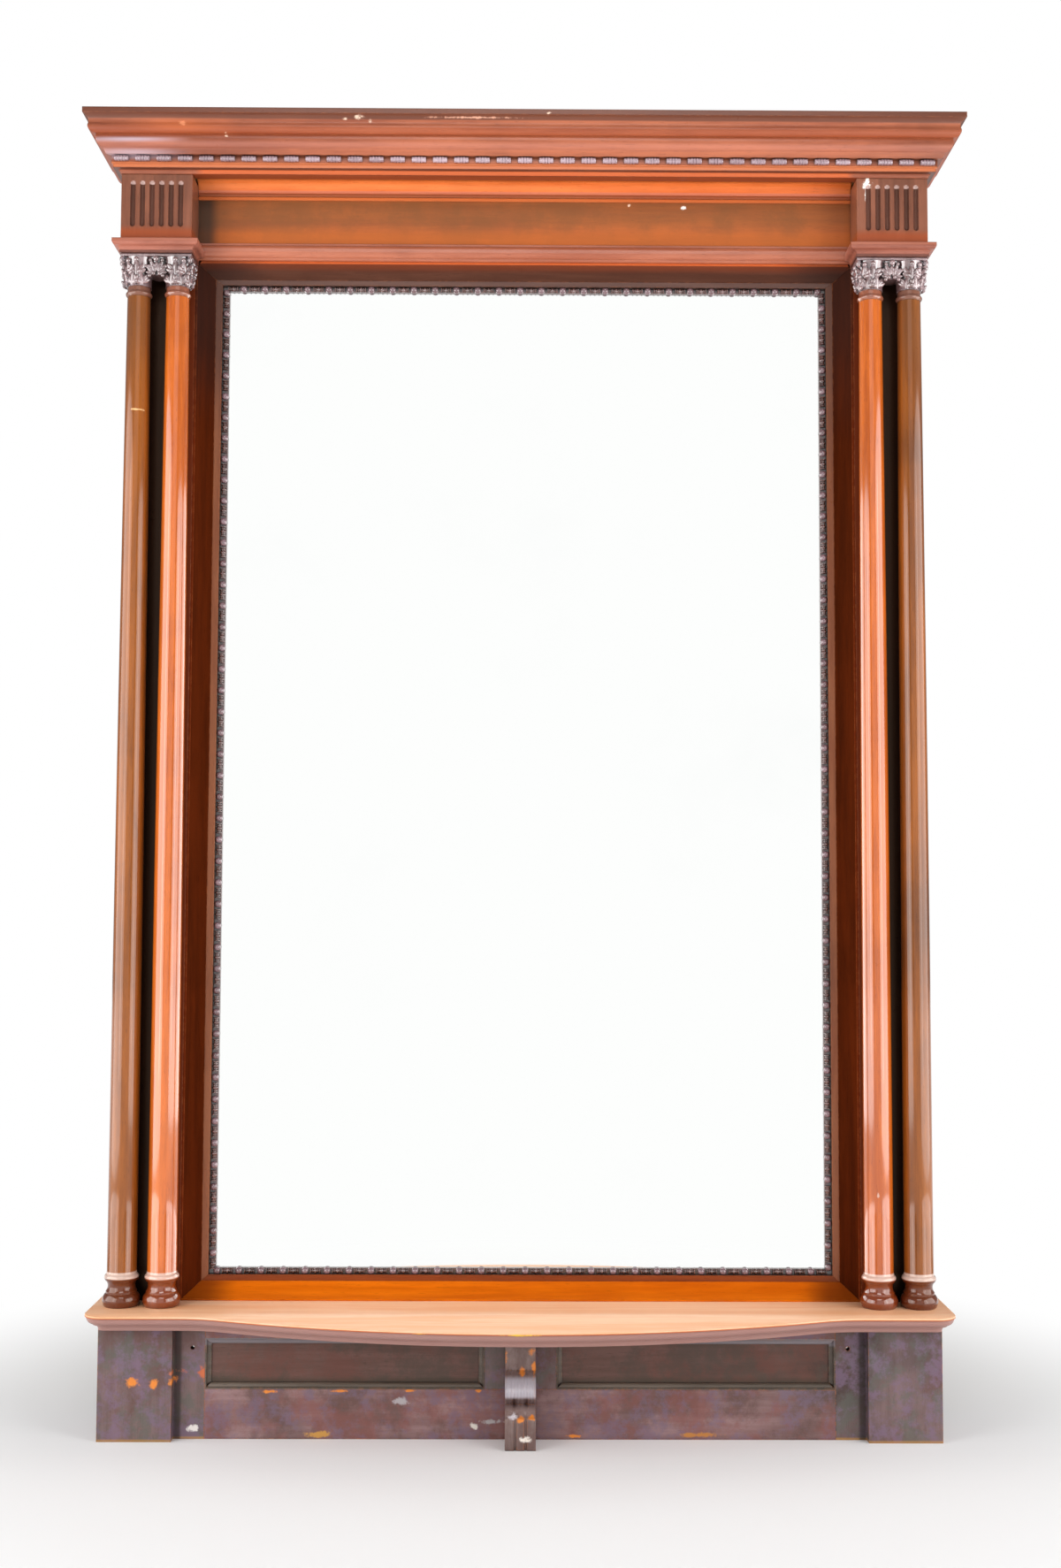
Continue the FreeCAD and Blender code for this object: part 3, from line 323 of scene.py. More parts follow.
def wood(name, grain, deep, body, light, coat=0.25, rough=0.3, dirt_and_shade=0.7, edge=0.4,
         wear_and_glint=tone(206, 120, 70), pore=0.35, age=0.5, marks=(), coat_rough=0.12, wave=0.12,
         bands=(), coat_ior=1.5, tint=(1.0, 0.62, 0.4, 1), mottle=(), shine=0.3):
    """Polished wood whose grain runs along one axis of the object. Lengths are in metres.
    deep, body, light: the colours of pores and of soiling and painted shade, of the wood, and of
    its light ribbons.
    mottle: faded shades that lie over each other in patches.
    bands: (axis, low, high, softness, colour, share), where a second axis, low, high and
    softness may follow.
    marks: chips and scuffs, and also a painted highlight, as (place, size, colour)."""
    finish = Finish(name)
    plain = finish.place()
    rub = finish.noise(plain, RUBS, 5.0, 0.75)
    colour, cloud, streak, fleck = raw_wood(finish, plain, grain, deep, body, light, pore, age)
    colour = mottled(finish, soiled_and_shaded(finish, colour, deep, dirt_and_shade), mottle)
    colour = banded(finish, colour, plain, cloud, bands)
    bare_and_glint, round_off = edge_wear_and_glint(finish, rub, edge)
    colour = finish.blend(bare_and_glint, colour, (*wear_and_glint, 1))
    colour = chipped(finish, colour, plain, rub, marks)
    ripple = finish.noise(plain, RIPPLES, 2.0, 0.5) * 0.6 + streak * 0.25 + fleck * 0.15
    bump = finish.node("ShaderNodeBump", {}, {"Strength": wave, "Distance": RIPPLE_DEPTH,
                                              "Height": ripple, "Normal": round_off})
    finish.set(Base_Color=colour, Roughness=rub * 0.16 + (rough - 0.08) + bare_and_glint * 0.2,
               Coat_Weight=(1 - bare_and_glint) * coat, Normal=bump, Coat_Roughness=coat_rough,
               Specular_IOR_Level=shine, Specular_Tint=tint, Coat_IOR=coat_ior)
    return finish.material


print("polish ripples about %.0f times a metre" % RIPPLES)

# %% [markdown]
# ## Colours and heights for worn places and painted light
# A restorer writes down every chip and every rubbed or dirty line before touching it up. Here the
# list also holds bands of painted light and shade. They could be painted into an image, but that
# would need unwrapped boards. A list of places and sizes in metres needs nothing but the CAD's own
# heights, so it is kept here in the same way.

# %% Worn places and painted light
DEEP = tone(66, 25, 12, 1)
BARE = tone(232, 200, 176)
CHIP = tone(255, 250, 240)
ORANGE = tone(222, 132, 54)
cornice_marks = (((-0.590, -0.045, 2.236), (0.007, 0.02, 0.005), tone(226, 140, 96)),
                 ((-0.286, -0.045, 2.247), (0.008, 0.02, 0.004), BARE),
                 ((-0.268, -0.045, 2.240), (0.004, 0.02, 0.004), BARE),
                 ((-0.310, -0.045, 2.244), (0.006, 0.02, 0.003), BARE),
                 ((-0.517, -0.03, 2.218), (0.003, 0.02, 0.003), BARE),
                 ((0.040, -0.045, 2.253), (0.005, 0.02, 0.003), BARE),
                 ((-0.09, -0.045, 2.247), (0.075, 0.02, 0.0016), tone(214, 158, 132)))
WHITE_TINT = (1.0, 0.9, 0.86, 1)
BRACKET_TOE = 0.064
foot_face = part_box("centre_bracket")[1].y - BRACKET_TOE
panel_foot, panel_top = (corner.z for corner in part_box("panel_moulding_left"))
bead_row = (frieze_top + 0.021, frieze_top + 0.0335)
ovolo_belly = (frieze_top + 0.035, frieze_top + 0.0435)
ovolo_brow = (frieze_top + 0.0435, frieze_top + 0.0495)
wave_foot = (frieze_top + 0.0535, frieze_top + 0.066)
wave_glow = (frieze_top + 0.059, frieze_top + 0.077)
# In run_bands the top band is the dark top fillet together with painted shade in the hollow under
# it, and the pale band on the ovolo's belly is a painted highlight.
run_bands = (("Z", cornice_top - 0.0165, cornice_top + 0.05, 0.0015, tone(92, 50, 34), 0.85),
             ("Z", *wave_foot, 0.004, tone(150, 66, 28), 0.55),
             ("Z", *ovolo_belly, 0.003, tone(206, 138, 122), 0.25),
             ("Z", frieze_top + 0.0075, frieze_top + 0.0155, 0.0012, tone(214, 122, 74), 0.7),
             ("Z", frieze_top + 0.0058, frieze_top + 0.0072, 0.0006, tone(70, 32, 20), 0.8))
print(len(cornice_marks), "chips and", len(run_bands), "bands on the cornice")

# %% [markdown]
# ## Finish of the cornice and its mouldings
# The cornice is mahogany with a dark top fillet and a thin dark line over its foot. The fillet
# under the beads is orange, and a few chips show bare wood. Painted shade lies in the hollow under
# the top fillet, painted highlights lie along the ovolo and on the left end of the upper members,
# and the small ovolo at the foot is painted lit between the blocks. Each member could be a mesh
# with a material of its own. Bands at set heights do the same on one mesh and run on round the
# mitre, and the returns only turn their grain.

# %% Finish the cornice and mouldings
finishes = {}


def count_nodes(*names):
    """Prints how many shader nodes each finish took."""
    print(", ".join("%s %d nodes" % (name, len(finishes[name].node_tree.nodes)) for name in names))


finishes["cornice"] = wood(
    "cornice_mahogany", "x", DEEP, tone(140, 71, 46, 1), tone(180, 101, 68, 1), marks=cornice_marks,
    coat=0.5, coat_rough=0.3, tint=WHITE_TINT,
    bands=run_bands + (
        # Painted highlights on the left end of the ovolo's brow and the bead row, and a painted
        # orange glow on the left end of the wave.
        ("Z", *ovolo_brow, 0.003, tone(206, 190, 204), 0.6, "X", -0.74, -0.62, 0.06),
        ("Z", *bead_row, 0.004, tone(190, 172, 184), 0.55, "X", -0.74, -0.62, 0.06),
        ("Z", *wave_glow, 0.006, tone(206, 104, 50), 0.5, "X", -0.65, -0.53, 0.06),
        # Painted light on the small ovolo at the foot between the blocks, which stops short of
        # their shade.
        ("Z", frieze_top + 0.0003, frieze_top + 0.0058, 0.0002, tone(204, 96, 42), 0.85, "halfX",
         -0.1, block_inner - 0.012, 0.01),
        ("Z", frieze_top - 0.01, frieze_top + 0.0003, 0.0002, tone(128, 50, 18), 0.8, "halfX", -0.1,
         block_inner + 0.01, 0.01)))
finishes["cornice_return"] = wood(
    "cornice_mahogany_return", "y", DEEP, tone(132, 62, 38, 1), tone(170, 88, 56, 1), coat=0.4,
    coat_rough=0.3, tint=WHITE_TINT, bands=run_bands)
finishes["mahogany_z"] = wood(
    "polished_mahogany_upright", "z", DEEP, tone(120, 50, 26, 1), tone(160, 76, 42, 1))
finishes["crown"] = wood(
    "crown_mahogany", "x", tone(128, 54, 24, 1), tone(218, 108, 48, 1), tone(236, 130, 66, 1),
    coat=0.4, coat_rough=0.25, age=0.35, dirt_and_shade=0.45,
    bands=(
        ("Z", crown_foot - 0.01, crown_foot + 0.0062, 0.0008, tone(190, 100, 56), 0.7),
        ("Z", crown_foot + 0.0062, crown_foot + 0.0125, 0.0008, tone(126, 62, 40), 0.85),
        ("Z", crown_foot + 0.0125, crown_foot + 0.017, 0.0012, tone(206, 124, 100), 0.8)))
finishes["bolection"] = wood(
    "bolection_mahogany", "x", tone(100, 44, 28, 1), tone(160, 86, 60, 1), tone(186, 110, 82, 1),
    coat=0.6, coat_rough=0.2, age=0.35, dirt_and_shade=0.5, tint=WHITE_TINT)
finishes["abacus"] = wood(
    "abacus_mahogany", "x", DEEP, tone(142, 78, 60, 1), tone(178, 108, 88, 1), coat=0.5,
    coat_rough=0.25, tint=WHITE_TINT,
    bands=(
        ("Z", abacus_foot - 0.01, abacus_foot + 0.0045, 0.0015, tone(92, 54, 46), 0.85),
        # Painted highlight: the pale band on the upper part of the abacus.
        ("Z", abacus_foot + 0.0175, abacus_foot + 0.05, 0.001, tone(176, 106, 82), 0.6)))
count_nodes("cornice", "cornice_return", "mahogany_z", "crown", "bolection", "abacus")

# %% [markdown]
# ## Finish of the blocks and the boards behind the columns
# The fluted blocks are browner than the cornice. Each flute has painted shade inside and a painted
# highlight at its upper end. The boards behind the columns are nearly black, a dark stain together
# with painted shade for the deep recess. Shadow alone could darken them, but it would darken their
# neighbours as well, so they have dark polish of their own, with painted light on a strip beside
# the frame.

# %% Finish the blocks and field boards
finishes["block"] = wood(
    "block_mahogany", "z", tone(60, 34, 22, 1), tone(116, 66, 46, 1), tone(148, 90, 66, 1),
    coat=0.3, dirt_and_shade=0.8, coat_rough=0.3, tint=WHITE_TINT,
    bands=(("Z", abacus_head - 0.01, abacus_head + 0.022, 0.008, tone(158, 68, 22), 0.8),),
    marks=(
        ((0.6, 0.015, 2.146), (0.0045, 0.02, 0.03), CHIP),
        ((0.6, 0.015, 2.151), (0.011, 0.02, 0.008), CHIP),
        ((0.6, 0.015, 2.184), (0.004, 0.02, 0.008), CHIP)))
# Painted shade inside the flutes.
finishes["flute"] = wood(
    "flute_shadow", "z", tone(50, 30, 24, 1), tone(98, 62, 52, 1), tone(118, 76, 64, 1), coat=0.2)
# Painted highlight at the upper end of each flute.
finishes["flute_head"] = wood(
    "flute_head_shine", "z", tone(120, 90, 84, 1), tone(196, 160, 150, 1), tone(226, 196, 188, 1),
    coat=0.8, dirt_and_shade=0.2)
# Painted shade: nearly black boards behind the columns. The band beside the frame is painted light.
finishes["field"] = wood(
    "field_mahogany_painted_shade", "z", tone(14, 8, 6, 1), tone(34, 18, 12, 1), tone(46, 24, 14, 1), coat=0.05,
    dirt_and_shade=1.0,
    bands=(("halfX", frame_outer - 0.01, frame_outer + 0.018, 0.002, tone(104, 44, 22), 1.0),))
count_nodes("block", "flute", "flute_head", "field")

# %% [markdown]
# ## Finish of the columns
# Columns are polished on the lathe, so they are smooth and glossy. The inner ones are orange, and
# the outer ones are browner and darker towards the top. One finish for all four would be simpler,
# but that difference is plain to see. Bands give the red-brown bases, a painted highlight on the
# pale ring over each base, and the necks.

# %% Finish the columns
finishes["turned"] = wood(
    "turned_mahogany", "z", tone(100, 40, 12, 1), tone(176, 80, 18, 1), tone(216, 108, 30, 1),
    coat=1.0, rough=0.3, dirt_and_shade=0.8, age=0.35, coat_rough=0.08, wave=0.04, coat_ior=1.75,
    bands=(
        ("Z", shelf_top - 0.01, shelf_top + 0.0475, 0.001, tone(104, 38, 14), 0.85),
        # Painted highlight on the ring over the base.
        ("Z", shelf_top + 0.0475, shelf_top + 0.058, 0.001, tone(226, 202, 190), 0.7),
        ("Z", capital_low.z - 0.0176, capital_low.z - 0.0165, 0.0006, tone(50, 24, 14), 0.8),
        ("Z", capital_low.z - 0.0165, capital_low.z, 0.001, tone(116, 80, 72), 0.7)),
    marks=(((0.604, 0.02, 0.404), (0.0022, 0.03, 0.005), tone(214, 170, 150)),))
finishes["turned_outer"] = wood(
    "turned_mahogany_outer", "z", tone(64, 34, 18, 1), tone(118, 62, 18, 1), tone(156, 86, 26, 1),
    coat=1.0, rough=0.3, dirt_and_shade=0.8, age=0.6, coat_rough=0.08, wave=0.04, coat_ior=1.5,
    bands=(
        ("Z", shelf_top - 0.01, shelf_top + 0.0475, 0.001, tone(88, 34, 16), 0.85),
        # Painted highlight on the ring over the base.
        ("Z", shelf_top + 0.0475, shelf_top + 0.058, 0.001, tone(226, 202, 190), 0.7),
        ("Z", 1.85, capital_low.z - 0.018, 0.1, tone(104, 68, 44), 0.55),
        ("Z", capital_low.z - 0.0176, capital_low.z - 0.0165, 0.0006, tone(50, 24, 14), 0.8),
        ("Z", capital_low.z - 0.0165, capital_low.z, 0.001, tone(116, 80, 72), 0.7)),
    marks=(((-0.672, 0.02, 1.75), (0.01, 0.03, 0.0022), tone(240, 190, 130)),))
count_nodes("turned", "turned_outer")

# %% [markdown]
# ## Finish of carving and beads
# Carved leaves and beads are stained dark. Their high places are pale grey, worn and also a painted
# highlight, and their hollows are dark with dirt and painted shade. A map painted over the carving
# could show this. Edge wear and ambient occlusion find the same places by themselves, and a coat
# that reflects strongly gives each small round its spark.

# %% Finish the carving and beads
# On the carving, the balls and the beads the pale edge colour is also a painted highlight.
finishes["carved"] = wood(
    "carved_mahogany", "z", tone(44, 28, 26, 1), tone(98, 68, 66, 1), tone(152, 120, 122, 1),
    coat=1.0, rough=0.3, dirt_and_shade=0.8, edge=0.65, coat_rough=0.12, coat_ior=2.3, tint=WHITE_TINT,
    age=0.5, wear_and_glint=tone(224, 210, 220))
finishes["balls"] = wood(
    "ball_mahogany", "x", tone(52, 34, 34, 1), tone(104, 76, 80, 1), tone(140, 112, 120, 1),
    coat=1.0, rough=0.3, dirt_and_shade=0.5, edge=0.2, coat_rough=0.14, coat_ior=1.7, tint=WHITE_TINT,
    wear_and_glint=tone(206, 190, 198))
finishes["beads"] = wood(
    "bead_mahogany", "x", tone(44, 26, 28, 1), tone(130, 98, 106, 1), tone(188, 160, 170, 1),
    coat=1.0, rough=0.3, dirt_and_shade=0.7, edge=0.5, coat_rough=0.1, coat_ior=2.0, tint=WHITE_TINT,
    wear_and_glint=tone(236, 224, 232))
finishes["reels"] = wood(
    "reel_mahogany", "z", tone(24, 12, 12, 1), tone(74, 44, 40, 1), tone(112, 76, 74, 1), coat=1.0,
    rough=0.3, dirt_and_shade=1.0, edge=0.2, coat_rough=0.12, coat_ior=1.8, tint=WHITE_TINT)
count_nodes("carved", "balls", "beads", "reels")

# %% [markdown]
# ## Finish of the frame
# The hollow round the glass looks dark at the head, orange at the foot and deep red at the sides,
# since each piece is lit, shaded and reflects another part of the room in its own way. The same
# room could be built, but it would only fit one view. So head, foot and sides have colours of their
# own that paint in this light, shade and reflection, with painted highlights on the ridges, and
# these hold from every side.

# %% Finish the frame
# Head of the hollow: painted shade, a painted highlight along the ridge, darker towards the ends.
finishes["splay"] = wood(
    "frame_mahogany_level", "x", tone(46, 28, 22, 1), tone(76, 46, 36, 1), tone(90, 56, 44, 1),
    dirt_and_shade=0.5, coat=0.0, shine=0.05,
    bands=(
        ("Z", frame_head - 0.009, frame_head + 0.02, 0.005, tone(126, 56, 30), 0.6),
        ("Z", frame_head - 0.0034, frame_head + 0.02, 0.0006, tone(206, 98, 52), 0.9),
        ("halfX", frame_outer - 0.1, frame_outer + 0.02, 0.04, tone(50, 36, 34), 0.5)))
# Foot of the hollow: painted light, darker towards the ends.
finishes["splay_foot"] = wood(
    "frame_mahogany_foot", "x", tone(124, 54, 6, 1), tone(194, 88, 8, 1), tone(220, 110, 12, 1),
    dirt_and_shade=0.15, coat=0.0, age=0.5, shine=0.02,
    bands=(("halfX", frame_outer - 0.075, frame_outer + 0.02, 0.03, tone(118, 52, 14), 0.75),))
# Sides of the hollow: painted shade, painted light along the ridge, darker towards the top.
finishes["splay_z"] = wood(
    "frame_mahogany_upright", "z", tone(44, 15, 5, 1), tone(64, 24, 8, 1), tone(84, 32, 10, 1),
    dirt_and_shade=0.4, coat=0.0, shine=0.0,
    bands=(
        ("halfX", frame_outer - 0.0038, frame_outer + 0.01, 0.0006, tone(112, 46, 20), 0.9),
        ("Z", 1.84, 2.2, 0.16, tone(48, 32, 28), 0.7)))
# The steps beside the slip: one copy each for head, foot and sides, painted lit and shaded.
finishes["step"] = wood(
    "step_mahogany_head_painted_shade", "x", tone(50, 32, 26, 1), tone(84, 56, 48, 1), tone(100, 70, 60, 1),
    dirt_and_shade=0.5, coat=0.2, tint=WHITE_TINT)
finishes["step_foot"] = wood(
    "step_mahogany_foot_painted_light", "x", tone(70, 28, 12, 1), tone(112, 48, 18, 1), tone(136, 62, 24, 1),
    dirt_and_shade=0.6, coat=0.2)
finishes["step_z"] = wood(
    "step_mahogany_sides_painted_light", "z", tone(84, 44, 24, 1), tone(124, 66, 36, 1), tone(148, 88, 54, 1),
    dirt_and_shade=0.6, coat=0.2, tint=WHITE_TINT, bands=(("Z", 1.8, 2.2, 0.22, tone(72, 46, 38), 0.85),))
count_nodes("splay", "splay_foot", "splay_z", "step", "step_foot", "step_z")

# %% [markdown]
# ## Finish of the frieze and the shelf
# The frieze is clouded and has darker patches, with painted shade under the crown and the painted
# shadow of the left block at its left end. The shelf is a pale straw orange, partly faded polish
# and partly a painted sheen on its top, and its moulded edge, which faces down, is darker as
# painted shade. One finish could be made lighter or darker for both, but faded wood also shows
# weaker pores and less dirt, so each has values of its own.

# %% Finish the frieze and shelf
finishes["frieze"] = wood(
    "frieze_mahogany", "x", tone(104, 64, 42, 1), tone(156, 84, 50, 1), tone(184, 98, 50, 1),
    coat=0.12, rough=0.45, age=0.9, dirt_and_shade=0.6, mottle=(tone(134, 80, 48, 1),),
    bands=(
        # Painted shade under the crown along the top of the frieze.
        ("Z", 2.1, 2.16, 0.014, tone(112, 74, 42), 0.45),
        ("Z", frame_head + 0.02, frame_head + 0.056, 0.012, tone(184, 96, 40), 0.6),
        # Painted shadow of the left block on the left end of the frieze.
        ("X", -block_inner - 0.01, -block_inner + 0.03, 0.012, tone(50, 42, 36), 0.85)),
    marks=(
        ((0.283, 0.077, 2.1345), (0.0042, 0.02, 0.0042), CHIP),
        ((0.186, 0.077, 2.1385), (0.0028, 0.02, 0.0028), BARE)))
finishes["shelf"] = wood(
    "shelf_mahogany_faded_and_sheen", "x", tone(226, 150, 96, 1), tone(243, 181, 134, 1), tone(252, 205, 168, 1),
    coat=0.25, rough=0.42, dirt_and_shade=0.12, age=0.25, coat_rough=0.3, tint=WHITE_TINT, edge=0.2,
    pore=0.15,
    bands=(
        ("Z", shelf_top - 0.0042, shelf_top - 0.0022, 0.0004, tone(184, 86, 34), 0.9),
        # Painted shade on the moulded edge of the shelf, which faces down.
        ("Z", shelf_top - 0.05, shelf_top - 0.0042, 0.0006, tone(152, 112, 110), 0.9, "Y", -0.3,
         wall_y - 0.004, 0.001)),
    marks=(
        ((0.0, -0.147, shelf_top - 0.0035), (0.03, 0.04, 0.0016), tone(236, 190, 60)),
        ((-0.16, -0.13, shelf_top - 0.0035), (0.012, 0.05, 0.0012), tone(236, 170, 60))))
count_nodes("frieze", "shelf")

# %% [markdown]
# ## Finish of the bracket and the base
# The base has been kicked and mopped for a long time. Faded shades lie over each other in patches,
# and orange wood shows at chips. A painted image could show this on the front, but noise in a few
# shades covers the sides as well. The bracket's belly has a pale painted highlight with painted
# shade in the undercut below it, and a small painted highlight lies on its foot. Painted shadow
# darkens the foot of each panel.

# %% Finish the bracket and base
finishes["bracket"] = wood(
    "bracket_mahogany", "z", tone(52, 42, 38, 1), tone(108, 86, 80, 1), tone(136, 116, 112, 1),
    coat=0.5, rough=0.3, dirt_and_shade=0.8, edge=0.9, wear_and_glint=tone(206, 120, 50), age=0.5, tint=WHITE_TINT,
    mottle=(tone(96, 66, 60, 1),),
    bands=(
        # Painted highlight on the upper part of the belly.
        ("Z", 0.083, 0.113, 0.004, tone(190, 186, 196), 0.8),
        # Painted shade in the undercut under the belly.
        ("Z", 0.064, 0.083, 0.005, tone(84, 62, 62), 0.7)),
    marks=(
        ((0.019, -0.055, 0.155), (0.006, 0.05, 0.009), ORANGE),
        ((-0.0235, -0.055, 0.143), (0.005, 0.05, 0.014), ORANGE),
        ((0.003, -0.03, 0.121), (0.005, 0.06, 0.007), ORANGE),
        ((0.0225, -0.03, 0.128), (0.004, 0.06, 0.012), ORANGE),
        ((0.0, foot_face, 0.05), (0.007, 0.03, 0.006), ORANGE),
        ((0.018, foot_face, 0.053), (0.006, 0.03, 0.004), ORANGE),
        # A painted highlight beside the orange chips on the foot.
        ((-0.011, foot_face, 0.055), (0.008, 0.03, 0.005), tone(226, 220, 226)),
        ((0.0075, foot_face, 0.0185), (0.009, 0.03, 0.006), tone(246, 236, 226))))
finishes["base"] = wood(
    "base_mahogany", "x", tone(68, 56, 52, 1), tone(128, 96, 94, 1), tone(150, 120, 120, 1),
    coat=0.1, rough=0.45, dirt_and_shade=0.7, edge=0.8, wear_and_glint=tone(206, 120, 46), age=0.8, tint=WHITE_TINT,
    mottle=(tone(80, 58, 50, 1), tone(128, 78, 72, 1), tone(112, 96, 116, 1)),
    marks=(
        ((-0.0776, 0.017, 0.0215), (0.007, 0.03, 0.005), tone(220, 214, 204)),
        ((-0.049, 0.017, 0.029), (0.016, 0.03, 0.004), tone(176, 170, 170)),
        ((-0.2, 0.017, 0.062), (0.012, 0.03, 0.006), tone(172, 164, 166)),
        ((-0.42, 0.017, 0.078), (0.0105, 0.03, 0.003), ORANGE),
        ((-0.3, 0.017, 0.079), (0.0135, 0.03, 0.003), ORANGE),
        ((-0.185, 0.017, 0.08), (0.009, 0.03, 0.0023), ORANGE),
        ((-0.07, 0.017, 0.08), (0.0045, 0.03, 0.003), ORANGE),
        ((0.09, 0.017, 0.006), (0.012, 0.03, 0.003), ORANGE),
        ((-0.34, 0.017, 0.008), (0.02, 0.03, 0.005), tone(190, 140, 70)),
        ((0.3, 0.017, 0.008), (0.03, 0.03, 0.004), tone(180, 120, 60))))
finishes["base_z"] = wood(
    "base_mahogany_upright", "z", tone(52, 44, 42, 1), tone(110, 88, 85, 1), tone(126, 102, 102, 1),
    coat=0.1, rough=0.45, dirt_and_shade=0.7, edge=0.8, wear_and_glint=tone(206, 120, 46), age=0.9, tint=WHITE_TINT,
    mottle=(tone(96, 64, 58, 1), tone(88, 92, 84, 1), tone(120, 98, 122, 1)),
    bands=(
        ("Z", -0.01, 0.004, 0.0015, tone(190, 140, 60), 0.5),
        ("halfX", block_inner - 0.012, block_inner - 0.001, 0.003, tone(40, 30, 28), 0.7)),
    marks=(
        ((-0.5476, 0.017, 0.0167), (0.009, 0.03, 0.006), tone(226, 220, 214)),
        ((-0.646, -0.001, 0.0976), (0.012, 0.03, 0.0075), ORANGE),
        ((-0.612, -0.001, 0.0946), (0.0083, 0.03, 0.0075), ORANGE),
        ((-0.579, -0.001, 0.0975), (0.0083, 0.03, 0.0075), ORANGE),
        ((-0.572, -0.001, 0.112), (0.016, 0.02, 0.005), tone(206, 112, 70)),
        ((-0.53, 0.02, 0.108), (0.008, 0.04, 0.014), tone(196, 104, 66))))
finishes["panel"] = wood(
    "panel_mahogany", "x", tone(46, 36, 30, 1), tone(92, 66, 58, 1), tone(110, 80, 72, 1), coat=0.1,
    rough=0.45, dirt_and_shade=1.0, edge=0.5, wear_and_glint=tone(150, 110, 90), age=0.8, tint=WHITE_TINT,
    mottle=(tone(104, 62, 52, 1), tone(72, 64, 56, 1)),
    # Painted shadow along the foot of the panel.
    bands=(("Z", panel_foot - 0.02, panel_foot + 0.016, 0.006, tone(58, 54, 42), 0.6),))
finishes["panel_edge"] = wood(
    "panel_moulding_mahogany", "x", tone(46, 42, 36, 1), tone(84, 74, 64, 1), tone(108, 96, 86, 1),
    coat=0.3, rough=0.4, dirt_and_shade=1.0, edge=0.6, wear_and_glint=tone(180, 120, 80), tint=WHITE_TINT,
    bands=(("Z", panel_top - 0.012, panel_top + 0.02, 0.003, tone(132, 124, 130), 0.8),))
count_nodes("bracket", "base", "base_z", "panel", "panel_edge")

# %% [markdown]
# ## Finish of the hidden boards
# What nobody sees was left as sawn softwood. It could share the mahogany's polish as long as it
# stays hidden, but the mirror can be looked at from behind. The same function makes raw pine:
# paler colours, no coat and a rough surface.

# %% Finish the pine
finishes["pine_x"] = wood(
    "raw_pine_level", "x", tone(120, 88, 56, 1), tone(176, 138, 92, 1), tone(206, 172, 124, 1),
    coat=0.0, rough=0.7, dirt_and_shade=0.7, edge=0.1, wear_and_glint=tone(214, 184, 140))
finishes["pine_z"] = wood(
    "raw_pine_upright", "z", tone(120, 88, 56, 1), tone(176, 138, 92, 1), tone(206, 172, 124, 1),
    coat=0.0, rough=0.7, dirt_and_shade=0.7, edge=0.1, wear_and_glint=tone(214, 184, 140))
count_nodes("pine_x", "pine_z")

# %% [markdown]
# ## The looking glass
# A silvered plate is glass with a metal coat behind it. Two layers could be modelled, but from the
# front both reflect as one, so a metallic surface with a trace of grey clouding is enough.

# %% Mirror finish
plate = Finish("silvered_plate")
haze = plate.noise(plate.place(), 2.2, 5.0, 0.6)
clouding = plate.ramp(haze, 0.5, 0.8) * 0.15
plate.set(Base_Color=plate.blend(clouding, tone(253, 254, 253, 1), tone(232, 235, 234, 1)),
          Metallic=1.0, Roughness=haze * 0.02 + 0.005)
finishes["plate"] = plate.material
print("silvered plate over %.2f m of glass" % (glass_high.z - glass_low.z))

# %% [markdown]
# ## Making a piece
# Every piece below is a mesh that belongs to one part of the mirror. Each could be made by hand
# with Blender's own tools, but a list of points and faces can be worked out from the CAD's sizes.
# One function turns such a list into a piece: it sets the finish and the sharp edges, hangs the
# piece on the body it rides on, and hides the CAD solids it stands for.

# %% Make a piece
SLOTS = dict.fromkeys(finishes, "polished_mahogany")
for slot, names in (("turned_mahogany", ("turned", "turned_outer")),
                    ("carved_mahogany", ("carved", "block", "bracket")),
                    ("sight_slip", ("beads", "balls", "reels")),
                    ("base_mahogany", ("base", "base_z", "panel", "panel_edge")),
                    ("carcass_pine", ("pine_x", "pine_z")),
                    ("mirror_plate", ("plate",))):
    SLOTS.update(dict.fromkeys(names, slot))
SHARP = math.radians(32)


def make(name, points, faces, finish, stands_for=(), sharp=SHARP):
    """A mesh piece that rides on the mirror's only body."""
    mesh = bpy.data.meshes.new(name)
    mesh.from_pydata([tuple(point) for point in points], [], faces)
    mesh.validate()
    piece = bpy.data.objects.new(name, mesh)
    bpy.context.scene.collection.objects.link(piece)
    mesh.materials.append(finishes[finish])
    for polygon in mesh.polygons:
        polygon.use_smooth = True
    bpy.context.view_layer.objects.active = piece
    piece.select_set(True)
    bpy.ops.object.mode_set(mode="EDIT")
    bpy.ops.mesh.select_all(action="SELECT")
    bpy.ops.mesh.normals_make_consistent(inside=False)
    bpy.ops.object.mode_set(mode="OBJECT")
    piece.select_set(False)
    mesh.set_sharp_from_angle(angle=sharp)
    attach(piece, "root")
    if stands_for:
        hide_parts(*stands_for)
    return piece


print("edges sharper than %.0f degrees stay sharp" % math.degrees(SHARP))

# %% [markdown]
# ## The moulding plane
# A moulding is a section worked along a straight edge, and two of them meet in a mitre. A curve
# with a bevel profile could sweep it. Two copies of the section, each pushed out along its own
# end's way, are enough for a straight run, and the ways at the ends set the mitre exactly.

# %% Sections, grids and mouldings
UP, FORWARD = Vector((0, 0, 1)), Vector((0, -1, 0))


def arc_points(start, end, radius, steps):
    """Points from start to end round an arc. A plus radius bends left, a minus one right."""
    chord = end - start
    swing = 2 * math.asin(min(1, abs(chord) / 2 / abs(radius))) * (1 if radius > 0 else -1)
    centre = (start + end) / 2 + 1j * chord / 2 / math.tan(swing / 2)
    angles = [swing * step / steps for step in range(1, steps + 1)]
    return [centre + (start - centre) * complex(math.cos(angle), math.sin(angle))
            for angle in angles]


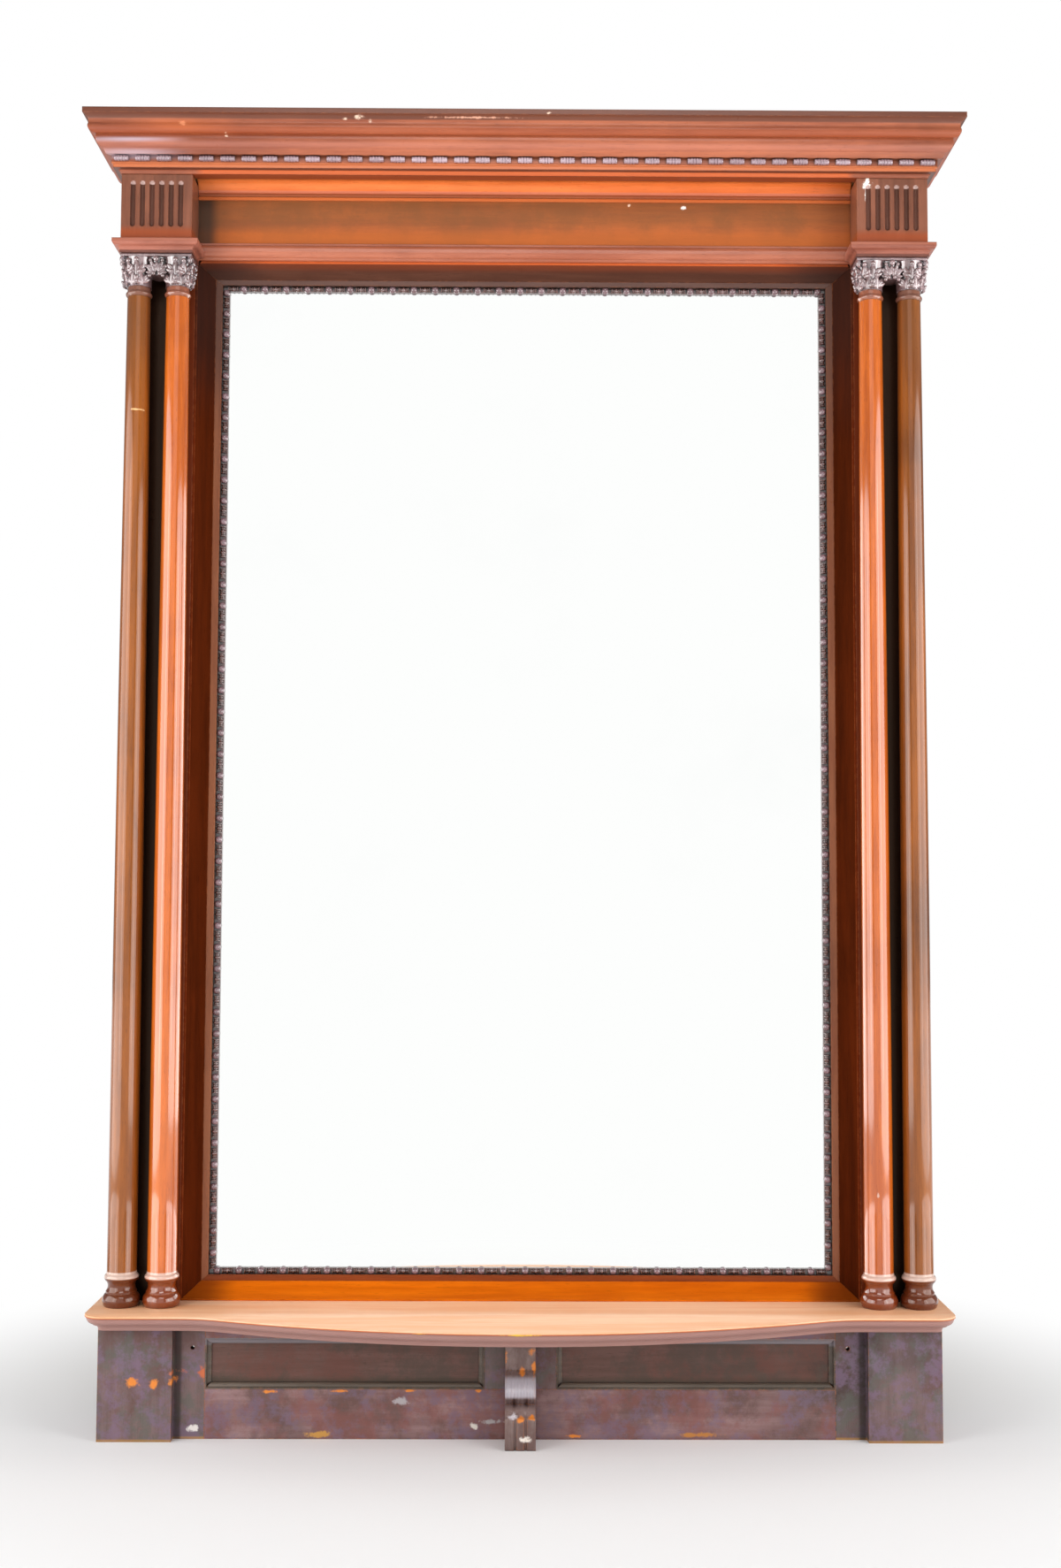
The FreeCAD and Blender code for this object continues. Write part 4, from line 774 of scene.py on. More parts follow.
def section(rows, steps=7):
    """Points of a closed outline. A row is (out, up) or (out, up, turn), where turn is the share of
    run and rise that an arc's radius has: plus bends left, minus right."""
    points = []
    for index, row in enumerate(rows):
        end = complex(row[0], row[1])
        if len(row) > 2:
            start = complex(*rows[index - 1][:2])
            radius = row[2] * (abs((end - start).real) + abs((end - start).imag))
            points += arc_points(start, end, radius, steps)[:-1]
        points.append(end)
    return points


def grid_faces(rows, columns, closed=False):
    """Quads over a grid of points, joined round its columns when closed."""
    faces = []
    for row in range(rows - 1):
        for column in range(columns if closed else columns - 1):
            following = (column + 1) % columns
            faces.append((row * columns + column, row * columns + following,
                          (row + 1) * columns + following, (row + 1) * columns + column))
    return faces


def moulding(name, rows, start, start_out, end, end_out, up, finish, stands_for=()):
    """A section run from start to end. Its outward way at each end makes the mitre."""
    outline = section(rows)
    points = [start + start_out * p.real + up * p.imag for p in outline]
    points += [end + end_out * p.real + up * p.imag for p in outline]
    count = len(outline)
    faces = grid_faces(2, count, closed=True)
    faces += [tuple(range(count)), tuple(range(count, 2 * count))]
    return make(name, points, faces, finish, stands_for)


print("a quarter round takes", len(section([(0, 0), (1, 0), (0, 1, 0.5)])), "points")

# %% [markdown]
# ## The lathe and the carver's grid
# Turned pieces are round about one axis, and carved fronts are a flat board with hollows in it. A
# screw modifier could spin a profile, and a boolean could cut the hollows. Rings of points joined
# into a skin, and a grid whose rim is closed to a flat back, need neither, and every point has a
# place that is known.

# %% Lathe and grid
def turns(sides):
    """Cosine and sine of every step round a full turn."""
    angles = [2 * math.pi * step / sides for step in range(sides)]
    return [(math.cos(angle), math.sin(angle)) for angle in angles]


def tube(points, faces, rings):
    """Joins rings of points, all of one size, into a closed skin."""
    first, size = len(points), len(rings[0])
    for one in rings:
        points += one
    faces += [tuple(first + index for index in face)
              for face in grid_faces(len(rings), size, closed=True)]
    last = first + (len(rings) - 1) * size
    faces += [tuple(range(first, first + size)), tuple(range(last, last + size))]


def lathe(name, profile, centre, finish, stands_for=(), sides=48, axis=UP, starts=(0,)):
    """Turns a profile of (radius, place along the axis) round an axis through centre, once from
    each start along it."""
    across = axis.orthogonal().normalized()
    over = axis.cross(across)
    spokes = [across * cosine + over * sine for cosine, sine in turns(sides)]
    points, faces = [], []
    for start in starts:
        tube(points, faces, [
            [centre + axis * (start + place) + spoke * radius for spoke in spokes]
            for radius, place in profile])
    return make(name, points, faces, finish, stands_for)


def grid_rim(rows, columns):
    """The outer points of a grid, in order round its edge."""
    rim = [row * columns for row in range(rows)]
    rim += [(rows - 1) * columns + column for column in range(1, columns)]
    rim += [row * columns + columns - 1 for row in range(rows - 2, -1, -1)]
    return rim + list(range(columns - 2, 0, -1))


def close_behind(points, faces, rim, back_y):
    """Joins the rim of a worked front to a flat back."""
    first = len(points)
    points += [Vector((points[index].x, back_y, points[index].z)) for index in rim]
    for index, here in enumerate(rim):
        following = (index + 1) % len(rim)
        faces.append((here, rim[following], first + following, first + index))
    faces.append(tuple(range(first, first + len(rim))))


print("a grid of 3 by 4 has", len(grid_rim(3, 4)), "points on its rim")

# %% [markdown]
# ## The cornice
# A cornice was run with hollow and round planes, then mitred at the corners. Its section goes from
# a small ovolo up to a bead course, a large ovolo, and a wave under the square top fillet. The CAD
# solid has that section in flat facets and could be smoothed by shading alone, but facets still
# show in its outline. So the section is run again here with finer arcs.

# %% Cornice mouldings
cornice_over = cad_high.x - case_half
cornice_rise = cornice_top - frieze_top
BOARD_BEHIND = 0.018
cornice_back = BOARD_BEHIND / cornice_over
bead_low, bead_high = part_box("bead_course_front")
seat = (block_front - bead_high.y) / cornice_over
seat_head = (bead_high.z - frieze_top) / cornice_rise
TOP_FILLET = 0.905


def cornice_rows():
    """The section: small ovolo, bead seat, large ovolo, wave and top fillet, in metres."""
    rows = [(-cornice_back, 0), (0, 0), (0.03, 0), (0.15, 0.07, -0.5), (0.22, 0.07), (0.22, 0.14),
            (seat, 0.14), (seat, seat_head), (seat + 0.14, seat_head), (0.48, 0.37),
            (0.66, 0.56, 0.5), (0.66, 0.59), (0.74, 0.59), (0.86, 0.72, 0.5),
            (1, TOP_FILLET, -0.5), (1, 1), (-cornice_back, 1)]
    return [(row[0] * cornice_over, row[1] * cornice_rise) + row[2:] for row in rows]


front_left = Vector((-case_half, block_front, frieze_top))
front_right = Vector((case_half, block_front, frieze_top))
back_left = Vector((-case_half, wall_y, frieze_top))
back_right = Vector((case_half, wall_y, frieze_top))
moulding("cornice_run_front", cornice_rows(), front_left, Vector((-1, -1, 0)), front_right,
         Vector((1, -1, 0)), UP, "cornice", ["cornice_front"])
moulding("cornice_run_left", cornice_rows(), back_left, Vector((-1, 0, 0)), front_left,
         Vector((-1, -1, 0)), UP, "cornice_return", ["cornice_left"])
moulding("cornice_run_right", cornice_rows(), back_right, Vector((1, 0, 0)), front_right,
         Vector((1, -1, 0)), UP, "cornice_return", ["cornice_right"])
print("cornice %.0f mm high, %.0f mm proud of the case"
      % (cornice_rise * 1000, cornice_over * 1000))

# %% [markdown]
# ## Bead strings
# Long ribbed beads run along the cornice, and a ball and a ringed reel take turns round the glass.
# Such strings were cut with a hand tool pushed along a slip of wood. An array modifier could
# repeat one bead. Here one lathe profile is repeated along a line inside a single mesh, sunk in
# its slip, because a whole string then stays one piece.

# %% Bead strings
def string(name, unit, pitch, start, end, finish, stands_for=(), sides=16):
    """A turned unit of (radius, share of the pitch), repeated from start to end."""
    way = end - start
    count = max(1, round(way.length / pitch))
    pitch = way.length / count
    print(name, count, "units, %.1f mm apart" % (pitch * 1000))
    profile = [(radius, share * pitch) for radius, share in unit]
    return lathe(name, profile, start, finish, stands_for, sides, way.normalized(),
                 [index * pitch for index in range(count)])


def oval(centre, half_length, radius, least, steps=8):
    """Profile of one oval bead."""
    rows = []
    for step in range(steps + 1):
        angle = math.pi * step / steps
        rows.append((least + (radius - least) * math.sin(angle),
                     centre - half_length * math.cos(angle)))
    return rows


def ring(centre, half_length, radius, least):
    """Profile of one narrow turned ring."""
    return [(least, centre - half_length), (radius, centre - half_length * 0.5),
            (radius, centre + half_length * 0.5), (least, centre + half_length)]


# Shares of the bead's radius first, then shares of the pitch.
TIP_SHARE, END_SWELL, GROOVE_SHARE = 0.3, 0.88, 0.8
LINE_PROUD, RETURN_PROUD, PAST_CORNER = 0.55, 0.45, 0.4
TIP_PLACES, RIB_COUNT, RIB_FIRST, RIB_APART, RIB_HALF = (0.17, 0.83), 5, 0.236, 0.132, 0.066
bead_radius = (bead_high.z - bead_low.z) / 2
bead_line_z = (bead_low.z + bead_high.z) / 2
tip_radius = bead_radius * TIP_SHARE
ribbed_bead = [(tip_radius, TIP_PLACES[0])]
for rib in range(RIB_COUNT):
    swell = bead_radius * (END_SWELL if rib in (0, RIB_COUNT - 1) else 1.0)
    ribbed_bead += oval(RIB_FIRST + rib * RIB_APART, RIB_HALF, swell,
                        bead_radius * GROOVE_SHARE, 4)
ribbed_bead += [(tip_radius, TIP_PLACES[1])]
course_y = bead_high.y - bead_radius * LINE_PROUD
course_half = -bead_low.x
BEAD_PITCH, SLIP_DEEP, SLIP_SHORT, WALL_GAP = 0.0373, 0.0012, 0.004, 0.001
course_rows = [(0, bead_low.z), (SLIP_DEEP, bead_low.z), (SLIP_DEEP, bead_high.z),
               (0, bead_high.z)]
slip_left = Vector((-course_half + SLIP_SHORT, bead_high.y, 0))
slip_right = Vector((course_half - SLIP_SHORT, bead_high.y, 0))
moulding("bead_slip_front", course_rows, slip_left, FORWARD, slip_right, FORWARD, UP,
         "cornice", ["bead_course_front"])
string("bead_string_front", ribbed_bead, BEAD_PITCH, Vector((-course_half, course_y, bead_line_z)),
       Vector((course_half, course_y, bead_line_z)), "beads")
for side, word in ((-1, "left"), (1, "right")):
    slip_x = side * (course_half - bead_radius * RETURN_PROUD - bead_radius)
    line_x = side * (course_half - bead_radius)
    sideways = Vector((side, 0, 0))
    moulding("bead_slip_" + word, course_rows, Vector((slip_x, wall_y - WALL_GAP, 0)), sideways,
             Vector((slip_x, bead_high.y, 0)), sideways, UP, "cornice_return",
             ["bead_course_" + word])
    string("bead_string_" + word, ribbed_bead, BEAD_PITCH,
           Vector((line_x, wall_y - WALL_GAP, bead_line_z)),
           Vector((line_x, course_y - bead_radius * PAST_CORNER, bead_line_z)), "beads")

# %% [markdown]
# ## The frame round the glass
# Each side is a deep hollow that falls from an outer ridge to a flat step, mitred like a picture
# frame. It could be cut at 45 degrees, but head, foot and sides differ in width. So a corner is
# drawn from its inner point to its outer point, and the section is written in shares of that way.
# The hollow's arc is worked out in metres first: between a share and a length it would bulge
# wildly.

# %% Frame mouldings
glass_half = -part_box("sight_left")[1].x
sight_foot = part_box("sight_foot")[1].z
sight_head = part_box("sight_head")[0].z
frame_rise = frame_high.y - frame_low.y
sight_share, step_share, ridge_share = 0.215, 0.43, 0.94


def corners_of(half, foot, head):
    """Four corners in the plane of the glass, from the lower left and round."""
    return [Vector((x, glass_front, z))
            for x, z in ((-half, foot), (half, foot), (half, head), (-half, head))]


inner_corners = corners_of(glass_half, sight_foot, sight_head)
outer_corners = corners_of(frame_outer, shelf_top, frame_head)
frame_width = frame_outer - glass_half
step_rise = 0.012
hollow = section([(step_share * frame_width, 0), (frame_width, 0), (frame_width, frame_rise),
                  (ridge_share * frame_width, frame_rise),
                  (step_share * frame_width, step_rise, -0.9)], 12)
frame_rows = [(point.real / frame_width, point.imag) for point in hollow]
step_rows = [(sight_share, 0), (step_share, 0), (step_share, step_rise), (sight_share, step_rise)]
print("frame section: ridge %.1f mm over the glass, highest point %.1f mm"
      % (frame_rise * 1000, max(point.imag for point in hollow) * 1000))
SLIP_RISE, SIGHT_PITCH = 0.0045, 0.038
slip_rows = [(0, 0), (sight_share, 0), (sight_share, SLIP_RISE), (0, SLIP_RISE)]
frame_sides = (("foot", 0, 1, "splay_foot", "step_foot"), ("right", 1, 2, "splay_z", "step_z"),
               ("head", 2, 3, "splay", "step"), ("left", 3, 0, "splay_z", "step_z"))
# Radii in metres. RING_HALF and the other places along the string are shares of the pitch.
BALL_RADIUS, BALL_TIP, REEL_CORE = 0.0064, 0.0012, 0.0022
TALL_RING, LOW_RING, RING_FOOT, RING_HALF = 0.0054, 0.0044, 0.0034, 0.035
ball = oval(0.2, 0.165, BALL_RADIUS, BALL_TIP, 12)
reel = [(REEL_CORE, 0.43)]
reel += ring(0.47, RING_HALF, TALL_RING, RING_FOOT) + ring(0.56, RING_HALF, LOW_RING, RING_FOOT)
reel += oval(0.68, 0.06, TALL_RING, 0.0036, 6) + ring(0.8, RING_HALF, LOW_RING, RING_FOOT)
reel += ring(0.89, RING_HALF, TALL_RING, RING_FOOT) + [(REEL_CORE, 0.93)]
print("frame side %.1f mm wide, slip %.1f mm"
      % (frame_width * 1000, frame_width * sight_share * 1000))
for word, first, second, finish, step_finish in frame_sides:
    ways = [outer_corners[index] - inner_corners[index] for index in (first, second)]
    run = (inner_corners[first], ways[0], inner_corners[second], ways[1], FORWARD)
    moulding("frame_run_" + word, frame_rows, *run, finish, ["frame_" + word])
    moulding("frame_step_" + word, step_rows, *run, step_finish)
    moulding("sight_slip_" + word, slip_rows, *run, "reels", ["sight_" + word])
    ends = [inner_corners[index] + way * (sight_share * 0.5) + FORWARD * SLIP_RISE
            for index, way in ((first, ways[0]), (second, ways[1]))]
    string("ball_string_" + word, ball, SIGHT_PITCH, *ends, "balls")
    string("reel_string_" + word, reel, SIGHT_PITCH, *ends, "reels")

# %% [markdown]
# ## Mouldings of the frieze and the abacus
# The frieze sinks back between its blocks. A rounded bolection covers the joint under it and a
# hollow crown fills the corner above. Both are single runs. The abacus over each capital is a
# small wave that returns round three sides. It could be three mitred runs, but one skin through
# four copies of its section has no seams at the mitres.

# %% Smaller mouldings
def scaled(rows, out, up):
    """Rows of shares turned into metres."""
    return [(row[0] * out, row[1] * up) + tuple(row[2:]) for row in rows]


for name, node, finish, rows in (
        ("bolection_run", "frieze_foot_moulding", "bolection",
         ((0, 0), (0.45, 0), (0.45, 0.14), (1, 0.5, 0.5), (0.3, 0.88, 0.5), (0.3, 1), (0, 1))),
        ("crown_run", "frieze_crown_moulding", "crown",
         ((0, 0), (0.2, 0), (0.2, 0.16), (0.1, 0.2), (0.18, 0.38, 0.5), (0.18, 0.42), (0.28, 0.42),
          (1, 0.9, -0.5), (1, 1), (0, 1)))):
    low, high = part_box(node)
    moulding(name, scaled(rows, high.y - low.y, high.z - low.z),
             Vector((-block_inner, high.y, low.z)), FORWARD,
             Vector((block_inner, high.y, low.z)), FORWARD, UP, finish, [node])
    print(name, "%.1f mm high, %.1f mm proud" % ((high.z - low.z) * 1000, (high.y - low.y) * 1000))

abacus_over = -case_half - abacus_low.x
abacus_tall = abacus_high.z - abacus_low.z
abacus_rows = scaled(((0, 0), (0, -1), (0.12, -1), (0.12, -0.82), (0.6, -0.5, -0.5),
                      (1, -0.18, 0.5), (1, 0)), abacus_over, abacus_tall)
for side, word in ((-1, "left"), (1, "right")):
    corners = [Vector((side * x, y, abacus_high.z)) for x, y in (
        (case_half, abacus_high.y), (case_half, block_front), (block_inner, block_front),
        (block_inner, abacus_high.y))]
    outward = [Vector((side * x, y, 0)) for x, y in ((1, 0), (1, -1), (-1, -1), (-1, 0))]
    profile = section(abacus_rows)
    points = [corner + out * p.real + UP * p.imag
              for corner, out in zip(corners, outward) for p in profile[1:]]
    ring_size = len(profile) - 1
    faces = grid_faces(4, ring_size)
    faces += [tuple(range(ring_size)), tuple(range(3 * ring_size, 4 * ring_size))]
    for end in (0, ring_size - 1):
        faces.append(tuple(corner * ring_size + end for corner in range(4)))
    faces.append((0, 3 * ring_size, 4 * ring_size - 1, ring_size - 1))
    make("abacus_moulding_" + word, points, faces, "abacus", ["abacus_" + word])
    print("abacus_moulding_" + word, len(points), "points round three sides")

# %% [markdown]
# ## The turned columns
# A turner worked each column from one blank: a round base with two thick rings and a hollow, a
# shaft that thins as it rises, and a ring under the capital. It could be stacked from cylinders
# and rings, but a real one has no joints. So one profile of straight runs and bulges is spun as a
# whole.

# %% Columns
SHAFT_RADIUS, NECK_RADIUS, RING_RISE = 0.025, 0.020, 0.017
BASE_RISE, SHAFT_STEPS, COLUMN_SIDES = 0.057, 12, 56
column_low, column_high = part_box("column_outer_left")
base_radius = (column_high.x - column_low.x) / 2
ring_foot = capital_low.z - RING_RISE


def bulge(low, high, depth, steps=7):
    """Points of a rounded step between two (radius, height) points."""
    rows = []
    for step in range(1, steps):
        share = step / steps
        swell = math.sin(math.pi * share) ** 0.8 * depth
        rows.append((low[0] + (high[0] - low[0]) * share + swell,
                     low[1] + (high[1] - low[1]) * share))
    return rows + [high]


def base_point(share, height):
    """A point of the base: a share of its radius, and a height over the shelf."""
    return base_radius * share, column_low.z + height


def column_profile():
    """(radius, height) from the shelf to the capital."""
    rows = [base_point(0.9, 0), base_point(0.93, 0.001)]
    rows += bulge(base_point(0.9, 0.001), base_point(0.86, 0.021), base_radius * 0.12)
    rows += [base_point(0.82, 0.022), base_point(0.82, 0.025)]
    rows += bulge(base_point(0.82, 0.025), base_point(0.8, 0.042), -base_radius * 0.09)
    rows += [base_point(0.84, 0.0425)]
    rows += bulge(base_point(0.84, 0.043), base_point(0.84, 0.053), base_radius * 0.07)
    rows += [base_point(0.8, 0.054), base_point(0.8, BASE_RISE)]
    shaft_foot = column_low.z + BASE_RISE + 0.001
    for step in range(SHAFT_STEPS + 1):
        share = step / SHAFT_STEPS
        thinner = (SHAFT_RADIUS - NECK_RADIUS) * (0.35 * share + 0.65 * share ** 2.6)
        rows.append((SHAFT_RADIUS - thinner, shaft_foot + (ring_foot - shaft_foot) * share))
    rows += bulge((NECK_RADIUS, ring_foot + 0.0005), (NECK_RADIUS, ring_foot + 0.0095), 0.003)
    rows += [(NECK_RADIUS, capital_low.z)]
    return rows


column_centres = {}
for word in ("outer_left", "inner_left", "outer_right", "inner_right"):
    low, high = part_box("column_" + word)
    column_centres[word] = Vector(((low.x + high.x) / 2, (low.y + high.y) / 2, 0))
    lathe("turned_column_" + word, column_profile(), column_centres[word],
          "turned_outer" if "outer" in word else "turned", ["column_" + word], COLUMN_SIDES)
    print("turned_column_" + word, "at x %.3f" % column_centres[word].x)

# %% [markdown]
# ## Fluted blocks
# Six flutes with round ends were gouged into each block over the columns. A boolean cut would do,
# but a grid whose points are pushed in by a formula gives clean, even faces in the round ends too.

# %% Flute formula
FLUTE_COUNT, FLUTE_PITCH, FLUTE_RADIUS = 6, 0.0167, 0.0044
FLUTE_FOOT, FLUTE_LENGTH, FLUTE_LIP, GRID_FACE = 0.025, 0.081, 0.0003, 1e-4
flute_low_z = left_block_low.z + FLUTE_FOOT
flute_high_z = flute_low_z + FLUTE_LENGTH


def flute_depth(x, z):
    """How deep the gouge went at one point of the front, from the block's middle."""
    depth = 0
    for number in range(FLUTE_COUNT):
        off = x - (number - (FLUTE_COUNT - 1) / 2) * FLUTE_PITCH
        past = max(flute_low_z + FLUTE_RADIUS - z, z - flute_high_z + FLUTE_RADIUS, 0)
        reach = math.hypot(off, past)
        if reach < FLUTE_RADIUS:
            depth = max(depth, math.sqrt(FLUTE_RADIUS ** 2 - reach ** 2))
    return depth


print(FLUTE_COUNT, "flutes, %.1f mm apart and %.0f mm long"
      % (FLUTE_PITCH * 1000, FLUTE_LENGTH * 1000))

# %% Fluted blocks
columns, rows = 150, 90
half = (case_half - block_inner) / 2
xs = [-half + 2 * half * column / (columns - 1) for column in range(columns)]
zs = [left_block_low.z + (frieze_top - left_block_low.z) * row / (rows - 1)
      for row in range(rows)]
for side, word in ((-1, "left"), (1, "right")):
    middle = side * (case_half + block_inner) / 2
    points = [Vector((middle + x, block_front + flute_depth(x, z), z)) for z in zs for x in xs]
    faces = grid_faces(rows, columns)
    close_behind(points, faces, grid_rim(rows, columns), field_front)
    block = make("fluted_block_" + word, points, faces, "block", ["frieze_block_" + word])
    block.data.materials.append(finishes["flute"])
    block.data.materials.append(finishes["flute_head"])
    for polygon in block.data.polygons:
        # Faces inside a flute take the painted shade, and those at its upper end the painted
        # highlight.
        spot = polygon.center
        if polygon.area < GRID_FACE and flute_depth(spot.x - middle, spot.z) > FLUTE_LIP:
            polygon.material_index = 2 if spot.z > flute_high_z - FLUTE_RADIUS * 1.3 else 1
    print("fluted_block_" + word, len(faces), "faces")

# %% [markdown]
# ## Carved capitals
# One block over each pair of columns was carved into two bells joined above a pointed arch. Two
# rows of leaves stand round it, a scroll hangs under every corner, and knobs sit in the arch.
# Sculpting would take hours. A carver cuts one lobe with one gouge again and again, so here one
# lobe is a bent, swollen sheet, a leaf is a fan of lobes, and leaves are placed round each bell.

# %% Lobe and knob
BELL_FOOT, BELL_TOP = 0.0215, 0.0285
bell_tall = (capital_high.z - capital_low.z) * 0.9


def bell(height):
    """The bell's radius at a height over its foot."""
    share = min(max(height / bell_tall, 0), 1)
    return BELL_FOOT + (BELL_TOP - BELL_FOOT) * share ** 2.2


def lobe(points, faces, root, way, normal, length, half_width, thick, curl):
    """One gouged lobe: it swells in the middle and its tip bends outward."""
    across = way.cross(normal).normalized()
    rings = []
    for row in range(9):
        share = row / 8
        spine = root + way * length * share + normal * (curl * share ** 2.4 + thick * 0.3)
        full = max(math.sin(math.pi * (0.1 + 0.88 * share)), 0.06) ** 0.6
        rings.append([spine + across * cosine * half_width * full + normal * sine * thick * full
                      for cosine, sine in turns(8)])
    tube(points, faces, rings)


def knob(points, faces, centre, radius, deep, axis):
    """A rounded button whose thickness runs along one axis."""
    side_way = axis.orthogonal().normalized()
    over = axis.cross(side_way)
    rings = []
    for row in range(7):
        tilt = math.pi * (row + 0.5) / 7 - math.pi / 2
        rings.append([centre + (side_way * cosine + over * sine) * math.cos(tilt) * radius
                      + axis * math.sin(tilt) * deep for cosine, sine in turns(12)])
    tube(points, faces, rings)


print("bell %.1f mm tall and %.1f mm wide at its foot, on a neck %.1f mm wide"
      % (bell_tall * 1000, BELL_FOOT * 2000, NECK_RADIUS * 2000))

# %% Leaf and scroll
LEAF_LOBES = ((0, 1.0, 0.0), (-40, 0.8, 0.12), (40, 0.8, 0.12), (-78, 0.62, 0.3), (78, 0.62, 0.3))
SCROLL_STEPS, SCROLL_TURNS = 33, 1.6


def leaf(points, faces, root, normal, tall, lean):
    """A fan of lobes about a lean angle in degrees, and a rolled tip on top. LEAF_LOBES holds
    each lobe's swing in degrees, its size and how far up it starts."""
    side_way = UP.cross(normal).normalized()
    for swing, size, up_share in LEAF_LOBES:
        angle = math.radians(swing + lean)
        way = UP * math.cos(angle) + side_way * math.sin(angle)
        start = root + UP * tall * up_share * 0.7
        lobe(points, faces, start, way, normal, tall * size, tall * 0.215 * (0.75 + size * 0.3),
             tall * 0.165, tall * 0.2 * size)
    angle = math.radians(lean)
    spine = UP * math.cos(angle) + side_way * math.sin(angle)
    tip = root + spine * tall * 0.98 + normal * tall * 0.24
    knob(points, faces, tip, tall * 0.18, tall * 0.16, normal)


def scroll(points, faces, centre, heading, size, wide):
    """A spiral rib with a round eye, in the upright plane that heading points along."""
    out = Vector((math.cos(heading), math.sin(heading), 0))
    across = Vector((-out.y, out.x, 0))
    rings = []
    for step in range(SCROLL_STEPS + 1):
        share = step / SCROLL_STEPS
        angle = math.pi / 2 - share * SCROLL_TURNS * 2 * math.pi
        spine = centre + (out * math.cos(angle) + UP * math.sin(angle)) * size * (1 - 0.72 * share)
        away = (spine - centre).normalized()
        thick = wide * (0.75 - 0.3 * share)
        rings.append([spine + away * cosine * thick + across * sine * wide
                      for cosine, sine in turns(8)])
    tube(points, faces, rings)
    knob(points, faces, centre, size * 0.36, wide * 1.25, across)


print("a leaf has", len(LEAF_LOBES), "lobes, a scroll turns", SCROLL_TURNS, "times")

# %% Bell with leaves
BELL_RINGS, LEAVES_ROUND, LEAF_SUNK, LEAF_LEAN = 14, 8, 0.0006, -24
LEAF_ROWS = ((22.5, 0.001, 0.0235, 40), (0, 0.0175, 0.0265, 48))
capital_foot = capital_low.z


def leafy_bell(points, faces, centre, toward):
    """One bell in two rows of leaves, with none toward the other bell or at the back. LEAF_ROWS
    holds each row's shift in degrees, height, leaf size and free angle beside the other bell."""
    rings = []
    for row in range(BELL_RINGS):
        height = bell_tall * row / (BELL_RINGS - 1)
        rings.append([centre + Vector((cosine * bell(height), sine * bell(height),
                                       capital_foot + height)) for cosine, sine in turns(40)])
    tube(points, faces, rings)
    for shift, height, tall, near in LEAF_ROWS:
        for number in range(LEAVES_ROUND):
            angle = math.radians(shift + 360 / LEAVES_ROUND * number)
            gap = abs((angle - toward + math.pi) % (2 * math.pi) - math.pi)
            if gap < math.radians(near) or math.sin(angle) > 0.75:
                continue
            normal = Vector((math.cos(angle), math.sin(angle), 0))
            root = centre + normal * (bell(height) - LEAF_SUNK) + UP * (capital_foot + height)
            leaf(points, faces, root, normal, tall, LEAF_LEAN * math.cos(angle))


print("up to", LEAVES_ROUND * len(LEAF_ROWS), "leaves round a bell")

# %% Arch between the bells
WEB_FOOT = 0.0195
ARCH_LEAVES = ((-52, 0.0215), (52, 0.0215), (-22, 0.027), (22, 0.027))
ARCH_LEAF_SIZE, ARCH_LEAF_SIDE, ARCH_LEAF_FRONT = 0.0185, 0.0035, 0.019
PAIRED_KNOBS = ((0.0055, -0.0205, 0.0215, 0.0042, 0.0036),
                (0.0115, -0.0235, 0.0165, 0.0036, 0.0032))


def carved_arch(points, faces, middle):
    """The web over the arch, with four leaves and five knobs on its front. ARCH_LEAVES holds lean
    and height, PAIRED_KNOBS the place from the middle of the foot, the radius and the thickness."""
    rings = []
    for row in range(9):
        share = row / 8
        height = WEB_FOOT + (bell_tall - WEB_FOOT) * share
        half, deep = 0.0155 + 0.004 * share, 0.0165 + 0.0075 * share ** 1.6
        rings.append([middle + Vector((cosine * half, sine * deep, capital_foot + height))
                      for cosine, sine in turns(20)])
    tube(points, faces, rings)
    for lean, height in ARCH_LEAVES:
        start = Vector((math.copysign(ARCH_LEAF_SIDE, lean), -ARCH_LEAF_FRONT,
                        capital_foot + height))
        leaf(points, faces, middle + start, FORWARD, ARCH_LEAF_SIZE, lean)
    for near in (-1, 1):
        for x, y, height, radius, deep in PAIRED_KNOBS:
            knob(points, faces, middle + Vector((near * x, y, capital_foot + height)), radius,
                 deep, FORWARD)
    knob(points, faces, middle + Vector((0, -0.0265, capital_foot + bell_tall - 0.004)), 0.0052,
         0.0036, FORWARD)


print("arch starts %.1f mm over the capital's foot" % (WEB_FOOT * 1000))

# %% Top plate and corner scrolls
LIP_ROWS = ((0, 0.0018), (0.35, 0.0), (0.65, 0.0), (1.0, 0.0012))
SCROLL_DROP, SCROLL_IN = 0.0055, 0.005
back_limit = field_front - 0.0002


def plate_and_scrolls(points, faces, low_x, high_x):
    """The thin plate on top, and a scroll under each of its four corners. LIP_ROWS holds shares
    of the plate's height, and how far its edge is set in there."""
    front_y, plate_foot = block_front + 0.001, capital_foot + bell_tall
    rings = []
    for share, inset in LIP_ROWS:
        height = plate_foot + (capital_high.z - plate_foot) * share
        rings.append([Vector((x, y, height)) for x, y in (
            (low_x + inset, front_y + inset), (high_x - inset, front_y + inset),
            (high_x - inset, back_limit), (low_x + inset, back_limit))])
    tube(points, faces, rings)
    scroll_z = capital_foot + bell_tall - SCROLL_DROP
    for x, way in ((low_x + SCROLL_IN, -1), (high_x - SCROLL_IN, 1)):
        scroll(points, faces, Vector((x, block_front + 0.0065, scroll_z)), math.atan2(-1, way),
               0.0062, 0.003)
        scroll(points, faces, Vector((x, field_front - 0.010, scroll_z)),
               0 if way > 0 else math.pi, 0.0054, 0.0026)


print("the eyes of the scrolls lie %.1f mm under the plate" % (SCROLL_DROP * 1000))

